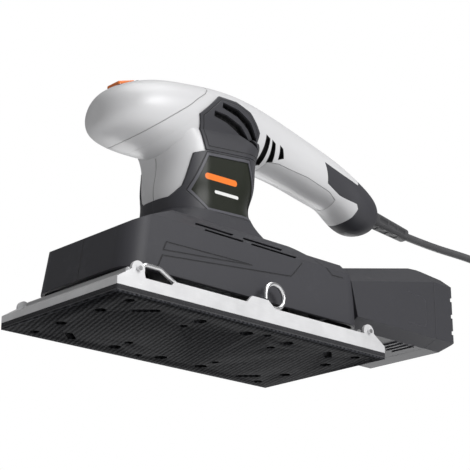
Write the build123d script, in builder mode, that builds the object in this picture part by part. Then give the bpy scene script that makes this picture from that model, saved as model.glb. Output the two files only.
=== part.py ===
"""Half-sheet orbital sander: pad, orbiting platen, motor, handle, dust box and mains cord.

Millimetres, +Z up. The origin is the centre of the pad's underside. -X is the front (pommel),
+X the rear (dust box and cord), -Y the left-hand side.
"""
from build123d import *
from math import cos, pi, radians, sin, tan
import os

os.makedirs("parts", exist_ok=True)

# ---------------------------------------------------------------- driving dimensions
PAD_LENGTH = 230.0
PAD_WIDTH = 115.0
FACING_THICK = 1.2
FOAM_THICK = 3.0
PLATE_THICK = 2.0
Z_PLATE = FACING_THICK + FOAM_THICK
Z_TRAY = Z_PLATE + PLATE_THICK
WALL_TOP = 14.2
LIP_TOP = 8.8

PIVOT_X = 99.5
PIVOT_Z = 16.2
EAR_RADIUS = 4.9
WIRE = 3.0
LEVER_Y = 53.5

MOTOR_X = -4.0
ORBIT = 1.0
SHAFT = 8.0
RUNNING_FIT = 0.03

HOUSING_BOTTOM = 22.0
NECK_TOP = 80.0
SHELL = 2.5

COLUMN_WIDTH = 58.0
COLUMN_RADIUS = 22.0

BOX_HALF = 45.0
BOX_WALL = 2.0
LID_X = 186.0
BOX_REAR = 206.0

CORD = 6.0
BOOT_START = (171.0, 0.0, 129.1)
CORD_EXIT = (209.75, 0.0, 124.5)
COIL_CENTRE = (374.0, -24.0)
COIL_MEAN = 33.0
COIL_BAND = 11.0
COIL_HEIGHT = 18.4

# Handle stations along X: (x, top, bottom, half width)
HANDLE = [
    (-90.0, 144.0, 130.0, 4.5),
    (-88.6, 148.5, 126.5, 12.0),
    (-85.0, 153.0, 123.5, 19.0),
    (-76.0, 159.5, 121.0, 27.5),
    (-62.0, 166.0, 119.5, 32.0),
    (-30.0, 174.5, 120.0, 31.5),
    (-5.0, 179.0, 122.0, 29.0),
    (25.0, 180.5, 131.0, 25.0),
    (55.0, 177.0, 133.0, 21.5),
    (85.0, 171.0, 129.5, 19.5),
    (110.0, 165.0, 125.0, 19.0),
    (125.0, 160.5, 121.5, 19.0),
    (140.0, 154.5, 112.5, 19.5),
    (152.0, 148.5, 111.0, 18.5),
    (162.0, 142.5, 114.5, 14.5),
    (168.5, 135.5, 121.5, 7.5),
]
# Column stations along Z: (z, front x, rear x, width, corner radius)
COLUMN = [
    (NECK_TOP, -40.0, 32.0, COLUMN_WIDTH, COLUMN_RADIUS),
    (112.0, -40.0, 32.0, COLUMN_WIDTH, COLUMN_RADIUS),
    (120.0, -41.0, 32.5, COLUMN_WIDTH, COLUMN_RADIUS),
    (127.0, -44.5, 33.5, 57.5, COLUMN_RADIUS),
    (134.0, -52.0, 36.0, 56.0, 21.0),
    (142.0, -63.0, 40.0, 50.0, 19.0),
]


# ---------------------------------------------------------------- shared shapes
def handle_solid(inset):
    """Pommel and grip bar: ellipses at the handle stations, shrunk by inset and lofted along X."""
    rows = [row for row in HANDLE if row[3] - inset > 2.0 and (row[1] - row[2]) / 2 - inset > 2.0]
    with BuildPart() as solid:
        for x, top, bottom, half in rows:
            with BuildSketch(Plane.YZ.offset(x)):
                with Locations((0, (top + bottom) / 2)):
                    Ellipse(half - inset, (top - bottom) / 2 - inset)
        loft()
    return solid.part


def column_solid(inset, below=0.0):
    """Motor column: rounded rectangles at the column stations, shrunk by inset, lofted up."""
    with BuildPart() as solid:
        for z, front, rear, width, radius in [(NECK_TOP - below, *COLUMN[0][1:])] + COLUMN[1:]:
            with BuildSketch(Plane.XY.offset(z)):
                with Locations(((front + rear) / 2, 0)):
                    RectangleRounded(rear - front - 2 * inset, width - 2 * inset, radius - inset)
        loft()
    return solid.part


def handle_and_column(inset, below=0.0):
    """The joined outer form of handle and column at one depth under the skin."""
    with BuildPart() as solid:
        add(handle_solid(inset))
        add(column_solid(inset, below))
    return solid.part


def side_prism(points, inner=0.0, outer=70.0):
    """Left-hand prism: a side-view outline (x, z) extruded from y=-inner to y=-outer."""
    with BuildPart() as solid:
        with BuildSketch(Plane.XZ.offset(inner)):
            with BuildLine():
                Polyline(points, close=True)
            make_face()
        extrude(amount=outer - inner)
    return solid.part


def through_prism(points):
    """A side-view outline (x, z) extruded across the whole width."""
    with BuildPart() as solid:
        with BuildSketch(Plane.XZ):
            with BuildLine():
                Polyline(points, close=True)
            make_face()
        extrude(amount=80.0, both=True)
    return solid.part


def both_sides(part):
    """The part together with its mirror image across the middle plane."""
    with BuildPart() as pair:
        add(part)
        mirror(part, about=Plane.XZ)
    return pair.part


# ---------------------------------------------------------------- pad
with BuildSketch() as hole_pattern:
    with GridLocations(194, 39, 2, 2):
        Circle(3.7)
    with GridLocations(194, 93.6, 2, 2):
        Circle(3.1)
    with GridLocations(75, 83, 2, 2):
        Circle(4.3)
    with GridLocations(75, 53.5, 2, 2):
        Circle(2.7)
    with Locations((2, -41), (2, 42)):
        Circle(4.4)
    with Locations((15.5, -46), (-12.5, 47.5)):
        Circle(2.8)
    with Locations(Location((-76.5, -36.5, 0), (0, 0, -43)), Location((80.5, 39.5, 0), (0, 0, -43))):
        SlotOverall(18, 5.4)
    with Locations(Location((-74.5, 40, 0), (0, 0, 43)), Location((78.5, -39, 0), (0, 0, 43))):
        SlotOverall(16, 5.4)

with BuildPart() as pad_facing:
    with BuildSketch():
        Rectangle(PAD_LENGTH, PAD_WIDTH)
        add(hole_pattern.sketch, mode=Mode.SUBTRACT)
    extrude(amount=FACING_THICK)
pad_facing.part.label = "pad_facing"
export_step(pad_facing.part, "parts/pad_facing.step")

with BuildPart() as pad_foam:
    with BuildSketch(Plane.XY.offset(FACING_THICK)):
        Rectangle(PAD_LENGTH, PAD_WIDTH)
        add(hole_pattern.sketch, mode=Mode.SUBTRACT)
    extrude(amount=FOAM_THICK)
pad_foam.part.label = "pad_foam"
export_step(pad_foam.part, "parts/pad_foam.step")


# ---------------------------------------------------------------- platen tray
HUB_SCREWS = 26.0
HUB_X = MOTOR_X + ORBIT
POST_X = 62.0
POST_Y = 30.0
POST_RADIUS = 8.0
STUD_RADIUS = 2.0


def tray_wall(side):
    """One long wall of the tray: ears at both ends, a clamp recess and the lever's latch tab."""
    outline = [
        (-114.5, Z_PLATE),
        (-114.5, 9.0),
        (-104.4, 15.5),
        (-95.0, 15.5),
        (-94.0, 11.6),
        (-74.0, 11.6),
        (-71.0, WALL_TOP),
        (-12.7, WALL_TOP),
        (-8.3, 18.8),
        (5.7, 18.8),
        (11.8, WALL_TOP),
        (93.7, WALL_TOP),
        (104.4, 15.5),
        (114.5, 9.0),
        (114.5, Z_PLATE),
    ]
    outer_face = side * PAD_WIDTH / 2
    with BuildPart() as wall:
        with BuildSketch(Plane.XZ.offset(-outer_face)):
            with BuildLine():
                Polyline([(-side * x, z) for x, z in outline], close=True)
            make_face()
            with Locations((-PIVOT_X, PIVOT_Z), (PIVOT_X, PIVOT_Z)):
                Circle(EAR_RADIUS)
                Circle(WIRE / 2 + 0.05, mode=Mode.SUBTRACT)
        extrude(amount=side * PLATE_THICK)
    return wall.part


with BuildPart() as platen:
    with BuildSketch(Plane.XY.offset(Z_PLATE)):
        Rectangle(PAD_LENGTH, PAD_WIDTH)
        add(hole_pattern.sketch, mode=Mode.SUBTRACT)
        with Locations((HUB_X, 0)):
            with PolarLocations(HUB_SCREWS, 4, start_angle=45):
                Circle(2.5, mode=Mode.SUBTRACT)
    extrude(amount=PLATE_THICK)
    with BuildSketch(Plane.XY.offset(Z_PLATE)):
        Rectangle(PAD_LENGTH, PAD_WIDTH)
        Rectangle(PAD_LENGTH - 2 * PLATE_THICK, PAD_WIDTH - 2 * PLATE_THICK, mode=Mode.SUBTRACT)
    extrude(amount=LIP_TOP - Z_PLATE)
    add(tray_wall(-1))
    add(tray_wall(1))
platen.part.label = "platen"
export_step(platen.part, "parts/platen.step")

HUB_FLANGE_TOP = Z_TRAY + 4.0
HUB_TOP = 19.5
BEARING_TOP = HUB_FLANGE_TOP + 8.0

with BuildPart() as platen_hub:
    with BuildSketch(Plane.XY.offset(Z_TRAY)):
        with Locations((HUB_X, 0)):
            Circle(33)
            Circle(9, mode=Mode.SUBTRACT)
            with PolarLocations(HUB_SCREWS, 4, start_angle=45):
                Circle(2.5, mode=Mode.SUBTRACT)
    extrude(amount=4.0)
    with BuildSketch(Plane.XY.offset(HUB_FLANGE_TOP)):
        with Locations((HUB_X, 0)):
            Circle(18)
            Circle(13, mode=Mode.SUBTRACT)
    extrude(amount=HUB_TOP - HUB_FLANGE_TOP)
platen_hub.part.label = "platen_hub"
export_step(platen_hub.part, "parts/platen_hub.step")

with BuildPart() as hub_screws:
    with BuildSketch(Plane.XY.offset(Z_PLATE)):
        with Locations((HUB_X, 0)):
            with PolarLocations(HUB_SCREWS, 4, start_angle=45):
                Circle(2.5)
    extrude(amount=HUB_FLANGE_TOP - Z_PLATE)
    with BuildSketch(Plane.XY.offset(HUB_FLANGE_TOP)):
        with Locations((HUB_X, 0)):
            with PolarLocations(HUB_SCREWS, 4, start_angle=45):
                Circle(4.2)
                RegularPolygon(2.3, 6, mode=Mode.SUBTRACT)
    extrude(amount=3.0)
hub_screws.part.label = "hub_screws"
export_step(hub_screws.part, "parts/hub_screws.step")

with BuildPart() as eccentric_bearing:
    with BuildSketch(Plane.XY.offset(HUB_FLANGE_TOP)):
        with Locations((HUB_X, 0)):
            Circle(13)
            Circle(5, mode=Mode.SUBTRACT)
    extrude(amount=BEARING_TOP - HUB_FLANGE_TOP)
eccentric_bearing.part.label = "eccentric_bearing"
export_step(eccentric_bearing.part, "parts/eccentric_bearing.step")

with BuildPart() as post_studs:
    with BuildSketch(Plane.XY.offset(Z_TRAY)):
        with GridLocations(2 * POST_X, 2 * POST_Y, 2, 2):
            Circle(STUD_RADIUS)
    extrude(amount=5.0)
post_studs.part.label = "post_studs"
export_step(post_studs.part, "parts/post_studs.step")


# ---------------------------------------------------------------- paper clamps
RING_X = 15.0
RING_Z = 24.0
RING_RADIUS = 8.0


def clamp_wire(turn):
    """Bent wire: a cross rod through both ears and a long lever ending in a finger ring.

    The lever runs inside the wall in the plane y=-LEVER_Y; turn=180 gives the rear one.
    """
    ring_low = RING_Z - RING_RADIUS
    ring_high = RING_Z + RING_RADIUS
    ring_front = RING_X - RING_RADIUS
    ring_rear = RING_X + RING_RADIUS
    lever_plane = Plane.XZ.offset(LEVER_Y)
    with BuildPart() as wire:
        with BuildLine(lever_plane) as route:
            FilletPolyline(
                (-PIVOT_X, PIVOT_Z),
                (-91.0, 21.2),
                (-80.0, 21.0),
                (-66.0, 13.4),
                (-12.0, 12.2),
                (6.0, ring_low),
                (ring_rear, ring_low),
                (ring_rear, ring_high),
                (ring_front, ring_high),
                (ring_front, 20.8),
                radius=[4.0, 5.0, 8.0, 12.0, 8.0, 7.8, 7.8, 7.8],
            )
        with BuildSketch(Plane(origin=route.line @ 0, z_dir=route.line % 0)):
            Circle(WIRE / 2)
        sweep(path=route.line)
        with BuildSketch(Plane.XZ.offset(-59.5)):
            with Locations((-PIVOT_X, PIVOT_Z)):
                Circle(WIRE / 2)
        extrude(amount=119.0)
    return wire.part.rotate(Axis.Z, turn)


def clamp_bar(turn):
    """Clamp jaw: a strip rolled round the cross rod whose foot presses the paper on the tray."""
    with BuildPart() as bar:
        with BuildSketch(Plane.XZ):
            with BuildLine():
                Polyline(
                    (-102.3, 15.0),
                    (-100.6, 11.0),
                    (-97.6, 8.2),
                    (-92.0, 8.2),
                    (-91.0, 6.6),
                    (-98.6, 6.6),
                    (-102.4, 10.4),
                    (-104.0, 15.0),
                    close=True,
                )
            make_face()
            with Locations((-PIVOT_X, PIVOT_Z)):
                Circle(3.2)
                Circle(WIRE / 2, mode=Mode.SUBTRACT)
        extrude(amount=49.0, both=True)
        with BuildSketch(Plane.XY.offset(Z_TRAY)):
            with Locations((-92.0, 0)):
                with GridLocations(1, 7.0, 1, 13):
                    Rectangle(3.2, 3.0)
        extrude(amount=2.6, mode=Mode.SUBTRACT)
    return bar.part.rotate(Axis.Z, turn)


with BuildPart() as front_clamp_lever:
    add(clamp_wire(0))
front_clamp_lever.part.label = "front_clamp_lever"
export_step(front_clamp_lever.part, "parts/front_clamp_lever.step")

with BuildPart() as rear_clamp_lever:
    add(clamp_wire(180))
rear_clamp_lever.part.label = "rear_clamp_lever"
export_step(rear_clamp_lever.part, "parts/rear_clamp_lever.step")

with BuildPart() as front_clamp_bar:
    add(clamp_bar(0))
front_clamp_bar.part.label = "front_clamp_bar"
export_step(front_clamp_bar.part, "parts/front_clamp_bar.step")

with BuildPart() as rear_clamp_bar:
    add(clamp_bar(180))
rear_clamp_bar.part.label = "rear_clamp_bar"
export_step(rear_clamp_bar.part, "parts/rear_clamp_bar.step")


# ---------------------------------------------------------------- lower housing
REAR_FACE_SLOPE = [(96.7, 54.0), (103.2, 27.3)]
DECK = 66.0


def housing_solid(inset):
    """Lower housing: a tapered rounded box trimmed by its side and end outlines, plus the neck."""
    with BuildPart() as solid:
        for z, front, rear, half in ((HOUSING_BOTTOM - 1, 100.6, 106.0, 47.1), (92.0, 90.0, 106.0, 44.0)):
            with BuildSketch(Plane.XY.offset(z)):
                with Locations(((rear - front) / 2, 0)):
                    RectangleRounded(rear + front - 2 * inset, 2 * (half - inset), 14.0 - inset)
        loft(ruled=True)
        with BuildSketch(Plane.XZ) as side_view:
            with BuildLine():
                Polyline(
                    (-104.0, HOUSING_BOTTOM - 2 * inset),
                    (-104.0, 45.5),
                    (-92.0, 52.5),
                    (-60.0, 67.5),
                    (-54.0, 70.0),
                    (48.0, 70.0),
                    (61.0, DECK),
                    (93.8, DECK),
                    REAR_FACE_SLOPE[0],
                    REAR_FACE_SLOPE[1],
                    (103.2, HOUSING_BOTTOM - 2 * inset),
                    close=True,
                )
            make_face()
            if inset:
                offset(amount=-inset, kind=Kind.INTERSECTION, mode=Mode.REPLACE)
        extrude(amount=60.0, both=True, mode=Mode.INTERSECT)
        with BuildSketch(Plane.YZ):
            with BuildLine():
                Polyline(
                    (-48.5, HOUSING_BOTTOM - 2 * inset),
                    (-48.5, 57.0),
                    (-44.5, 58.5),
                    (-36.0, 68.5),
                    (-33.0, 71.0),
                    (33.0, 71.0),
                    (36.0, 68.5),
                    (44.5, 58.5),
                    (48.5, 57.0),
                    (48.5, HOUSING_BOTTOM - 2 * inset),
                    close=True,
                )
            make_face()
            if inset:
                offset(amount=-inset, kind=Kind.INTERSECTION, mode=Mode.REPLACE)
        extrude(amount=110.0, both=True, mode=Mode.INTERSECT)
    return solid.part


TRIM_PROUD = 1.4


def neck_solid(inset):
    """Flared neck between the housing's deck and the motor column."""
    stations = (
        (62.0, -66.0, 60.0, 78.0, 27.0),
        (71.0, -51.0, 43.0, 67.0, 25.0),
        (NECK_TOP, -41.4, 33.4, COLUMN_WIDTH + 2 * TRIM_PROUD, COLUMN_RADIUS + TRIM_PROUD),
    )
    with BuildPart() as solid:
        for z, front, rear, width, radius in stations:
            with BuildSketch(Plane.XY.offset(z)):
                with Locations(((front + rear) / 2, 0)):
                    RectangleRounded(rear - front - 2 * inset, width - 2 * inset, radius - inset)
        loft()
    return solid.part


HOUSING_SCREWS = [(-85.0, 31.0), (85.0, 31.0), (-70.0, 53.5), (83.0, 61.2)]
VENT_UPPER = [[(-43, 61.4), (-40, 63.6), (-8, 63.6), (-11, 61.4)], [(-2, 61.4), (1, 63.6), (36, 63.6), (33, 61.4)]]
VENT_LOWER = [[(-38, 57.6), (-35, 59.8), (-2, 59.8), (-5, 57.6)], [(2, 57.6), (5, 59.8), (46, 59.8), (43, 57.6)]]

with BuildPart() as housing_bosses:
    with BuildSketch(Plane.XZ):
        with Locations(*HOUSING_SCREWS):
            Circle(3.8)
    extrude(amount=60.0, both=True)
    add(housing_solid(SHELL / 2), mode=Mode.INTERSECT)

with BuildPart() as housing_shell:
    add(housing_solid(0))
    add(neck_solid(0))
    add(housing_solid(SHELL), mode=Mode.SUBTRACT)
    add(neck_solid(SHELL), mode=Mode.SUBTRACT)
    add(housing_bosses.part)
    with BuildSketch(Plane.XZ):
        with Locations(*HOUSING_SCREWS):
            Circle(1.6)
    extrude(amount=-10.0, mode=Mode.SUBTRACT)
    with BuildSketch(Plane.XZ):
        with Locations(*HOUSING_SCREWS):
            Circle(1.6)
    extrude(amount=12.0, mode=Mode.SUBTRACT)
    with BuildSketch(Plane.XZ.offset(-10.0)):
        with Locations(*HOUSING_SCREWS):
            Circle(3.1)
    extrude(amount=-40.0, mode=Mode.SUBTRACT)
    for outline in VENT_UPPER + VENT_LOWER:
        add(both_sides(side_prism(outline, 30.0, 50.0)), mode=Mode.SUBTRACT)
    with BuildSketch(Plane.YZ.offset(90.0)):
        with Locations((0, 50.0)):
            RectangleRounded(36.0, 14.0, 3.0)
    extrude(amount=20.0, mode=Mode.SUBTRACT)

with BuildPart() as housing_left:
    add(housing_shell.part)
    split(bisect_by=Plane.XZ, keep=Keep.TOP)
housing_left.part.label = "housing_left"
export_step(housing_left.part, "parts/housing_left.step")

with BuildPart() as housing_right:
    add(housing_shell.part)
    split(bisect_by=Plane.XZ, keep=Keep.BOTTOM)
housing_right.part.label = "housing_right"
export_step(housing_right.part, "parts/housing_right.step")


def side_screws(points, head_y):
    """Screws entering from the right-hand side: pan head at head_y, shank across the middle plane."""
    with BuildPart() as screws:
        with BuildSketch(Plane.XZ.offset(-head_y)):
            with Locations(*points):
                Circle(3.0)
                Rectangle(0.8, 4.0, mode=Mode.SUBTRACT)
                Rectangle(4.0, 0.8, mode=Mode.SUBTRACT)
        extrude(amount=-2.2)
        with BuildSketch(Plane.XZ.offset(-head_y)):
            with Locations(*points):
                Circle(1.6)
        extrude(amount=head_y + 11.0)
    return screws.part


with BuildPart() as housing_screws:
    add(side_screws(HOUSING_SCREWS, 10.0))
housing_screws.part.label = "housing_screws"
export_step(housing_screws.part, "parts/housing_screws.step")


# ---------------------------------------------------------------- fan chamber, posts and motor supports
BAFFLE_Z = 39.0
BAFFLE_THICK = 2.5
FAN_Z = 44.0

with BuildPart() as fan_baffle:
    with BuildSketch(Plane.XY.offset(BAFFLE_Z)):
        RectangleRounded(186.0, 86.0, 11.0)
        with Locations((MOTOR_X, 0)):
            Circle(25.0, mode=Mode.SUBTRACT)
    extrude(amount=BAFFLE_THICK)
fan_baffle.part.label = "fan_baffle"
export_step(fan_baffle.part, "parts/fan_baffle.step")

with BuildPart() as rubber_posts:
    with BuildSketch(Plane.XY.offset(Z_TRAY)):
        with GridLocations(2 * POST_X, 2 * POST_Y, 2, 2):
            Circle(POST_RADIUS)
    extrude(amount=BAFFLE_Z - Z_TRAY)
    with BuildSketch(Plane.XY.offset(Z_TRAY + 9.0)):
        with GridLocations(2 * POST_X, 2 * POST_Y, 2, 2):
            Circle(POST_RADIUS + 1)
            Circle(POST_RADIUS - 2.5, mode=Mode.SUBTRACT)
    extrude(amount=14.0, mode=Mode.SUBTRACT)
    with BuildSketch(Plane.XY.offset(Z_TRAY)):
        with GridLocations(2 * POST_X, 2 * POST_Y, 2, 2):
            Circle(STUD_RADIUS + 2 * ORBIT + 0.5)
    extrude(amount=6.5, mode=Mode.SUBTRACT)
rubber_posts.part.label = "rubber_posts"
export_step(rubber_posts.part, "parts/rubber_posts.step")

LOWER_BEARING_Z = 62.0
BEARING_THICK = 7.0
BEARING_OUTER = 11.0

with BuildPart() as bearing_plate:
    with BuildSketch(Plane.XY.offset(LOWER_BEARING_Z - 2.5)):
        with Locations((MOTOR_X, 0)):
            Circle(35.0)
            Circle(7.0, mode=Mode.SUBTRACT)
            with PolarLocations(24.0, 6):
                SlotOverall(12.0, 7.0, mode=Mode.SUBTRACT)
    extrude(amount=2.5)
    with BuildSketch(Plane.XY.offset(LOWER_BEARING_Z)):
        with Locations((MOTOR_X, 0)):
            Circle(14.5)
            Circle(BEARING_OUTER, mode=Mode.SUBTRACT)
    extrude(amount=BEARING_THICK + 0.5)
bearing_plate.part.label = "bearing_plate"
export_step(bearing_plate.part, "parts/bearing_plate.step")


def motor_bearing(z):
    """Deep-groove ball bearing for the armature shaft, seen closed by its shields."""
    with BuildPart() as ring:
        with BuildSketch(Plane.XY.offset(z)):
            with Locations((MOTOR_X, 0)):
                Circle(BEARING_OUTER)
                Circle(SHAFT / 2 + RUNNING_FIT, mode=Mode.SUBTRACT)
        extrude(amount=BEARING_THICK)
    return ring.part


UPPER_BEARING_Z = 143.0

with BuildPart() as lower_bearing:
    add(motor_bearing(LOWER_BEARING_Z))
lower_bearing.part.label = "lower_bearing"
export_step(lower_bearing.part, "parts/lower_bearing.step")

with BuildPart() as upper_bearing:
    add(motor_bearing(UPPER_BEARING_Z))
upper_bearing.part.label = "upper_bearing"
export_step(upper_bearing.part, "parts/upper_bearing.step")

with BuildPart() as bearing_bridge:
    with BuildSketch(Plane.XY.offset(UPPER_BEARING_Z - 2.0)):
        with Locations((MOTOR_X, 0)):
            RectangleRounded(32.0, 45.0, 4.0)
            Circle(7.0, mode=Mode.SUBTRACT)
    extrude(amount=BEARING_THICK + 2.0)
    with BuildSketch(Plane.XY.offset(UPPER_BEARING_Z)):
        with Locations((MOTOR_X, 0)):
            Circle(BEARING_OUTER)
    extrude(amount=BEARING_THICK, mode=Mode.SUBTRACT)
bearing_bridge.part.label = "bearing_bridge"
export_step(bearing_bridge.part, "parts/bearing_bridge.step")


# ---------------------------------------------------------------- rotor
CORE_LOW = 84.0
CORE_HIGH = 116.0
ARMATURE_RADIUS = 14.0
AIR_GAP = 0.5

with BuildPart() as armature_shaft:
    with BuildSketch(Plane.XY.offset(21.0)):
        with Locations((MOTOR_X, 0)):
            Circle(SHAFT / 2)
    extrude(amount=131.0)
armature_shaft.part.label = "armature_shaft"
export_step(armature_shaft.part, "parts/armature_shaft.step")

with BuildPart() as eccentric:
    with BuildSketch(Plane.XY.offset(HUB_FLANGE_TOP + 0.6)):
        with Locations((HUB_X, 0)):
            Circle(5.0 - RUNNING_FIT)
    extrude(amount=20.5 - HUB_FLANGE_TOP - 0.6)
    with BuildSketch(Plane.XY.offset(20.5)):
        with Locations((MOTOR_X, 0)):
            Circle(11.0)
    extrude(amount=17.5)
    with BuildSketch(Plane.XY.offset(24.0)):
        with Locations((MOTOR_X, 0)):
            Circle(33.0)
        with Locations((MOTOR_X + 40.0, 0)):
            Rectangle(80.0, 80.0, mode=Mode.SUBTRACT)
    extrude(amount=11.0)
    with BuildSketch(Plane.XY.offset(21.0)):
        with Locations((MOTOR_X, 0)):
            Circle(SHAFT / 2)
    extrude(amount=20.0, mode=Mode.SUBTRACT)
eccentric.part.label = "eccentric"
export_step(eccentric.part, "parts/eccentric.step")

with BuildPart() as fan:
    with BuildSketch(Plane.XY.offset(FAN_Z + 10.5)):
        with Locations((MOTOR_X, 0)):
            Circle(36.0)
    extrude(amount=2.0)
    with BuildSketch(Plane.XY.offset(FAN_Z)):
        with Locations((MOTOR_X, 0)):
            with PolarLocations(25.0, 12):
                Rectangle(20.0, 1.8, rotation=28.0)
    extrude(amount=10.5)
    with BuildSketch(Plane.XY.offset(FAN_Z)):
        with Locations((MOTOR_X, 0)):
            Circle(9.0)
    extrude(amount=12.5)
    with BuildSketch(Plane.XY.offset(FAN_Z)):
        with Locations((MOTOR_X, 0)):
            Circle(SHAFT / 2)
    extrude(amount=12.5, mode=Mode.SUBTRACT)
fan.part.label = "fan"
export_step(fan.part, "parts/fan.step")

with BuildPart() as armature_core:
    with BuildSketch(Plane.XY.offset(CORE_LOW)):
        with Locations((MOTOR_X, 0)):
            Circle(ARMATURE_RADIUS)
            Circle(SHAFT / 2, mode=Mode.SUBTRACT)
            with PolarLocations(ARMATURE_RADIUS - 1.5, 12):
                Rectangle(5.0, 1.4, mode=Mode.SUBTRACT)
    extrude(amount=CORE_HIGH - CORE_LOW)
armature_core.part.label = "armature_core"
export_step(armature_core.part, "parts/armature_core.step")

with BuildPart() as armature_windings:
    for z, height in ((CORE_LOW - 8.0, 8.0), (CORE_HIGH, 8.0)):
        with BuildSketch(Plane.XY.offset(z)):
            with Locations((MOTOR_X, 0)):
                Circle(12.5)
                Circle(SHAFT / 2, mode=Mode.SUBTRACT)
        extrude(amount=height)
armature_windings.part.label = "armature_windings"
export_step(armature_windings.part, "parts/armature_windings.step")

with BuildPart() as commutator:
    with BuildSketch(Plane.XY.offset(126.0)):
        with Locations((MOTOR_X, 0)):
            Circle(10.0)
            Circle(SHAFT / 2, mode=Mode.SUBTRACT)
            with PolarLocations(9.6, 24):
                Rectangle(1.4, 0.5, mode=Mode.SUBTRACT)
    extrude(amount=13.5)
commutator.part.label = "commutator"
export_step(commutator.part, "parts/commutator.step")


# ---------------------------------------------------------------- stator and brushes
with BuildPart() as stator_core:
    with BuildSketch(Plane.XY.offset(CORE_LOW)):
        with Locations((MOTOR_X, 0)):
            RectangleRounded(50.0, 47.6, 15.0)
            Circle(ARMATURE_RADIUS + AIR_GAP, mode=Mode.SUBTRACT)
    extrude(amount=CORE_HIGH - CORE_LOW)
stator_core.part.label = "stator_core"
export_step(stator_core.part, "parts/stator_core.step")

with BuildPart() as field_windings:
    for z in (CORE_LOW - 7.0, CORE_HIGH):
        with BuildSketch(Plane.XY.offset(z)):
            with Locations((MOTOR_X, 0)):
                RectangleRounded(43.0, 45.0, 14.0)
                Circle(16.0, mode=Mode.SUBTRACT)
        extrude(amount=7.0)
field_windings.part.label = "field_windings"
export_step(field_windings.part, "parts/field_windings.step")

BRUSH_Z = 132.5


def brush_layout(inner, outer, width, height):
    """A pair of blocks across the commutator, from radius inner to radius outer."""
    with BuildPart() as pair:
        with BuildSketch(Plane.XZ.offset(inner)):
            with Locations((MOTOR_X, BRUSH_Z)):
                Rectangle(width, height)
        extrude(amount=outer - inner)
        mirror(about=Plane.XZ)
    return pair.part


with BuildPart() as brushes:
    add(brush_layout(10.4, 19.0, 6.0, 7.0))
brushes.part.label = "brushes"
export_step(brushes.part, "parts/brushes.step")

with BuildPart() as brush_holders:
    add(brush_layout(12.5, 23.0, 9.0, 10.0))
    add(brush_layout(12.5, 22.2, 6.0, 7.0), mode=Mode.SUBTRACT)
brush_holders.part.label = "brush_holders"
export_step(brush_holders.part, "parts/brush_holders.step")

with BuildPart() as brush_springs:
    with BuildSketch(Plane.XZ.offset(19.1)):
        with Locations((MOTOR_X, BRUSH_Z)):
            Circle(2.6)
            Circle(1.6, mode=Mode.SUBTRACT)
    extrude(amount=3.0)
    mirror(about=Plane.XZ)
brush_springs.part.label = "brush_springs"
export_step(brush_springs.part, "parts/brush_springs.step")


# ---------------------------------------------------------------- handle shells
SKIN = 1.2
CAP_SEAM = [(-72.0, 108.0), (4.0, 171.0)]
VENT_TOP = [(-7, 160), (8, 159.3), (20, 154), (29.3, 144.5), (28.8, 141), (18, 148), (6, 153), (-9, 155)]
VENT_BOTTOM = [(-17, 150.3), (-5, 150.8), (10, 148.2), (26, 140), (27.3, 135.8), (10, 142.3), (-5, 145.4), (-17.5, 146)]
SLITS = [
    [(39.5, 152.0), (43.5, 150.5), (44.8, 135.4), (40.0, 134.2)],
    [(46.2, 150.2), (49.6, 148.8), (53.0, 138.4), (48.6, 137.4)],
    [(54.8, 148.9), (57.8, 147.6), (61.0, 142.2), (57.0, 140.6)],
]
GRIP_INSERT = [
    (40.0, 118.0), (49.5, 137.3), (60.0, 138.2), (88.0, 135.8), (111.0, 131.0), (119.0, 127.5),
    (119.0, 122.5), (113.0, 112.0),
]
REAR_COLLAR = [
    (101.8, 150.5), (124.9, 144.8), (137.2, 142.0), (140.0, 146.0), (140.0, 170.0), (180.0, 170.0),
    (180.0, 95.0), (127.0, 95.0), (131.5, 112.0), (136.5, 118.5), (138.0, 124.0), (136.0, 127.2),
    (120.6, 130.7), (106.6, 136.0),
]
HANDLE_SCREWS = [(-29.0, 136.5), (66.0, 153.0), (97.0, 153.0)]
HANDLE_BOSS_REACH = [27.0, 19.5, 16.8]

boot_plane = Plane(
    origin=BOOT_START,
    z_dir=(CORD_EXIT[0] - BOOT_START[0], 0.0, CORD_EXIT[2] - BOOT_START[2]),
)
BOOT_LENGTH = 39.02

SWITCH_SLOPE = 27.0
switch_plane = Plane(
    origin=(-71.0, 0.0, 161.6),
    x_dir=(cos(radians(SWITCH_SLOPE)), 0.0, sin(radians(SWITCH_SLOPE))),
    z_dir=(-sin(radians(SWITCH_SLOPE)), 0.0, cos(radians(SWITCH_SLOPE))),
)

outer_form = handle_and_column(0)

with BuildPart() as skin:
    add(outer_form)
    add(handle_and_column(SKIN, 1.0), mode=Mode.SUBTRACT)

with BuildPart() as grip_insert:
    add(skin.part)
    add(through_prism(GRIP_INSERT), mode=Mode.INTERSECT)
grip_insert.part.label = "grip_insert"
export_step(grip_insert.part, "parts/grip_insert.step")

with BuildPart() as rear_collar:
    add(skin.part)
    add(through_prism(REAR_COLLAR), mode=Mode.INTERSECT)
    with BuildSketch(boot_plane.offset(-20.0)):
        Circle(5.75)
    extrude(amount=30.0, mode=Mode.SUBTRACT)
rear_collar.part.label = "rear_collar"
export_step(rear_collar.part, "parts/rear_collar.step")

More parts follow.
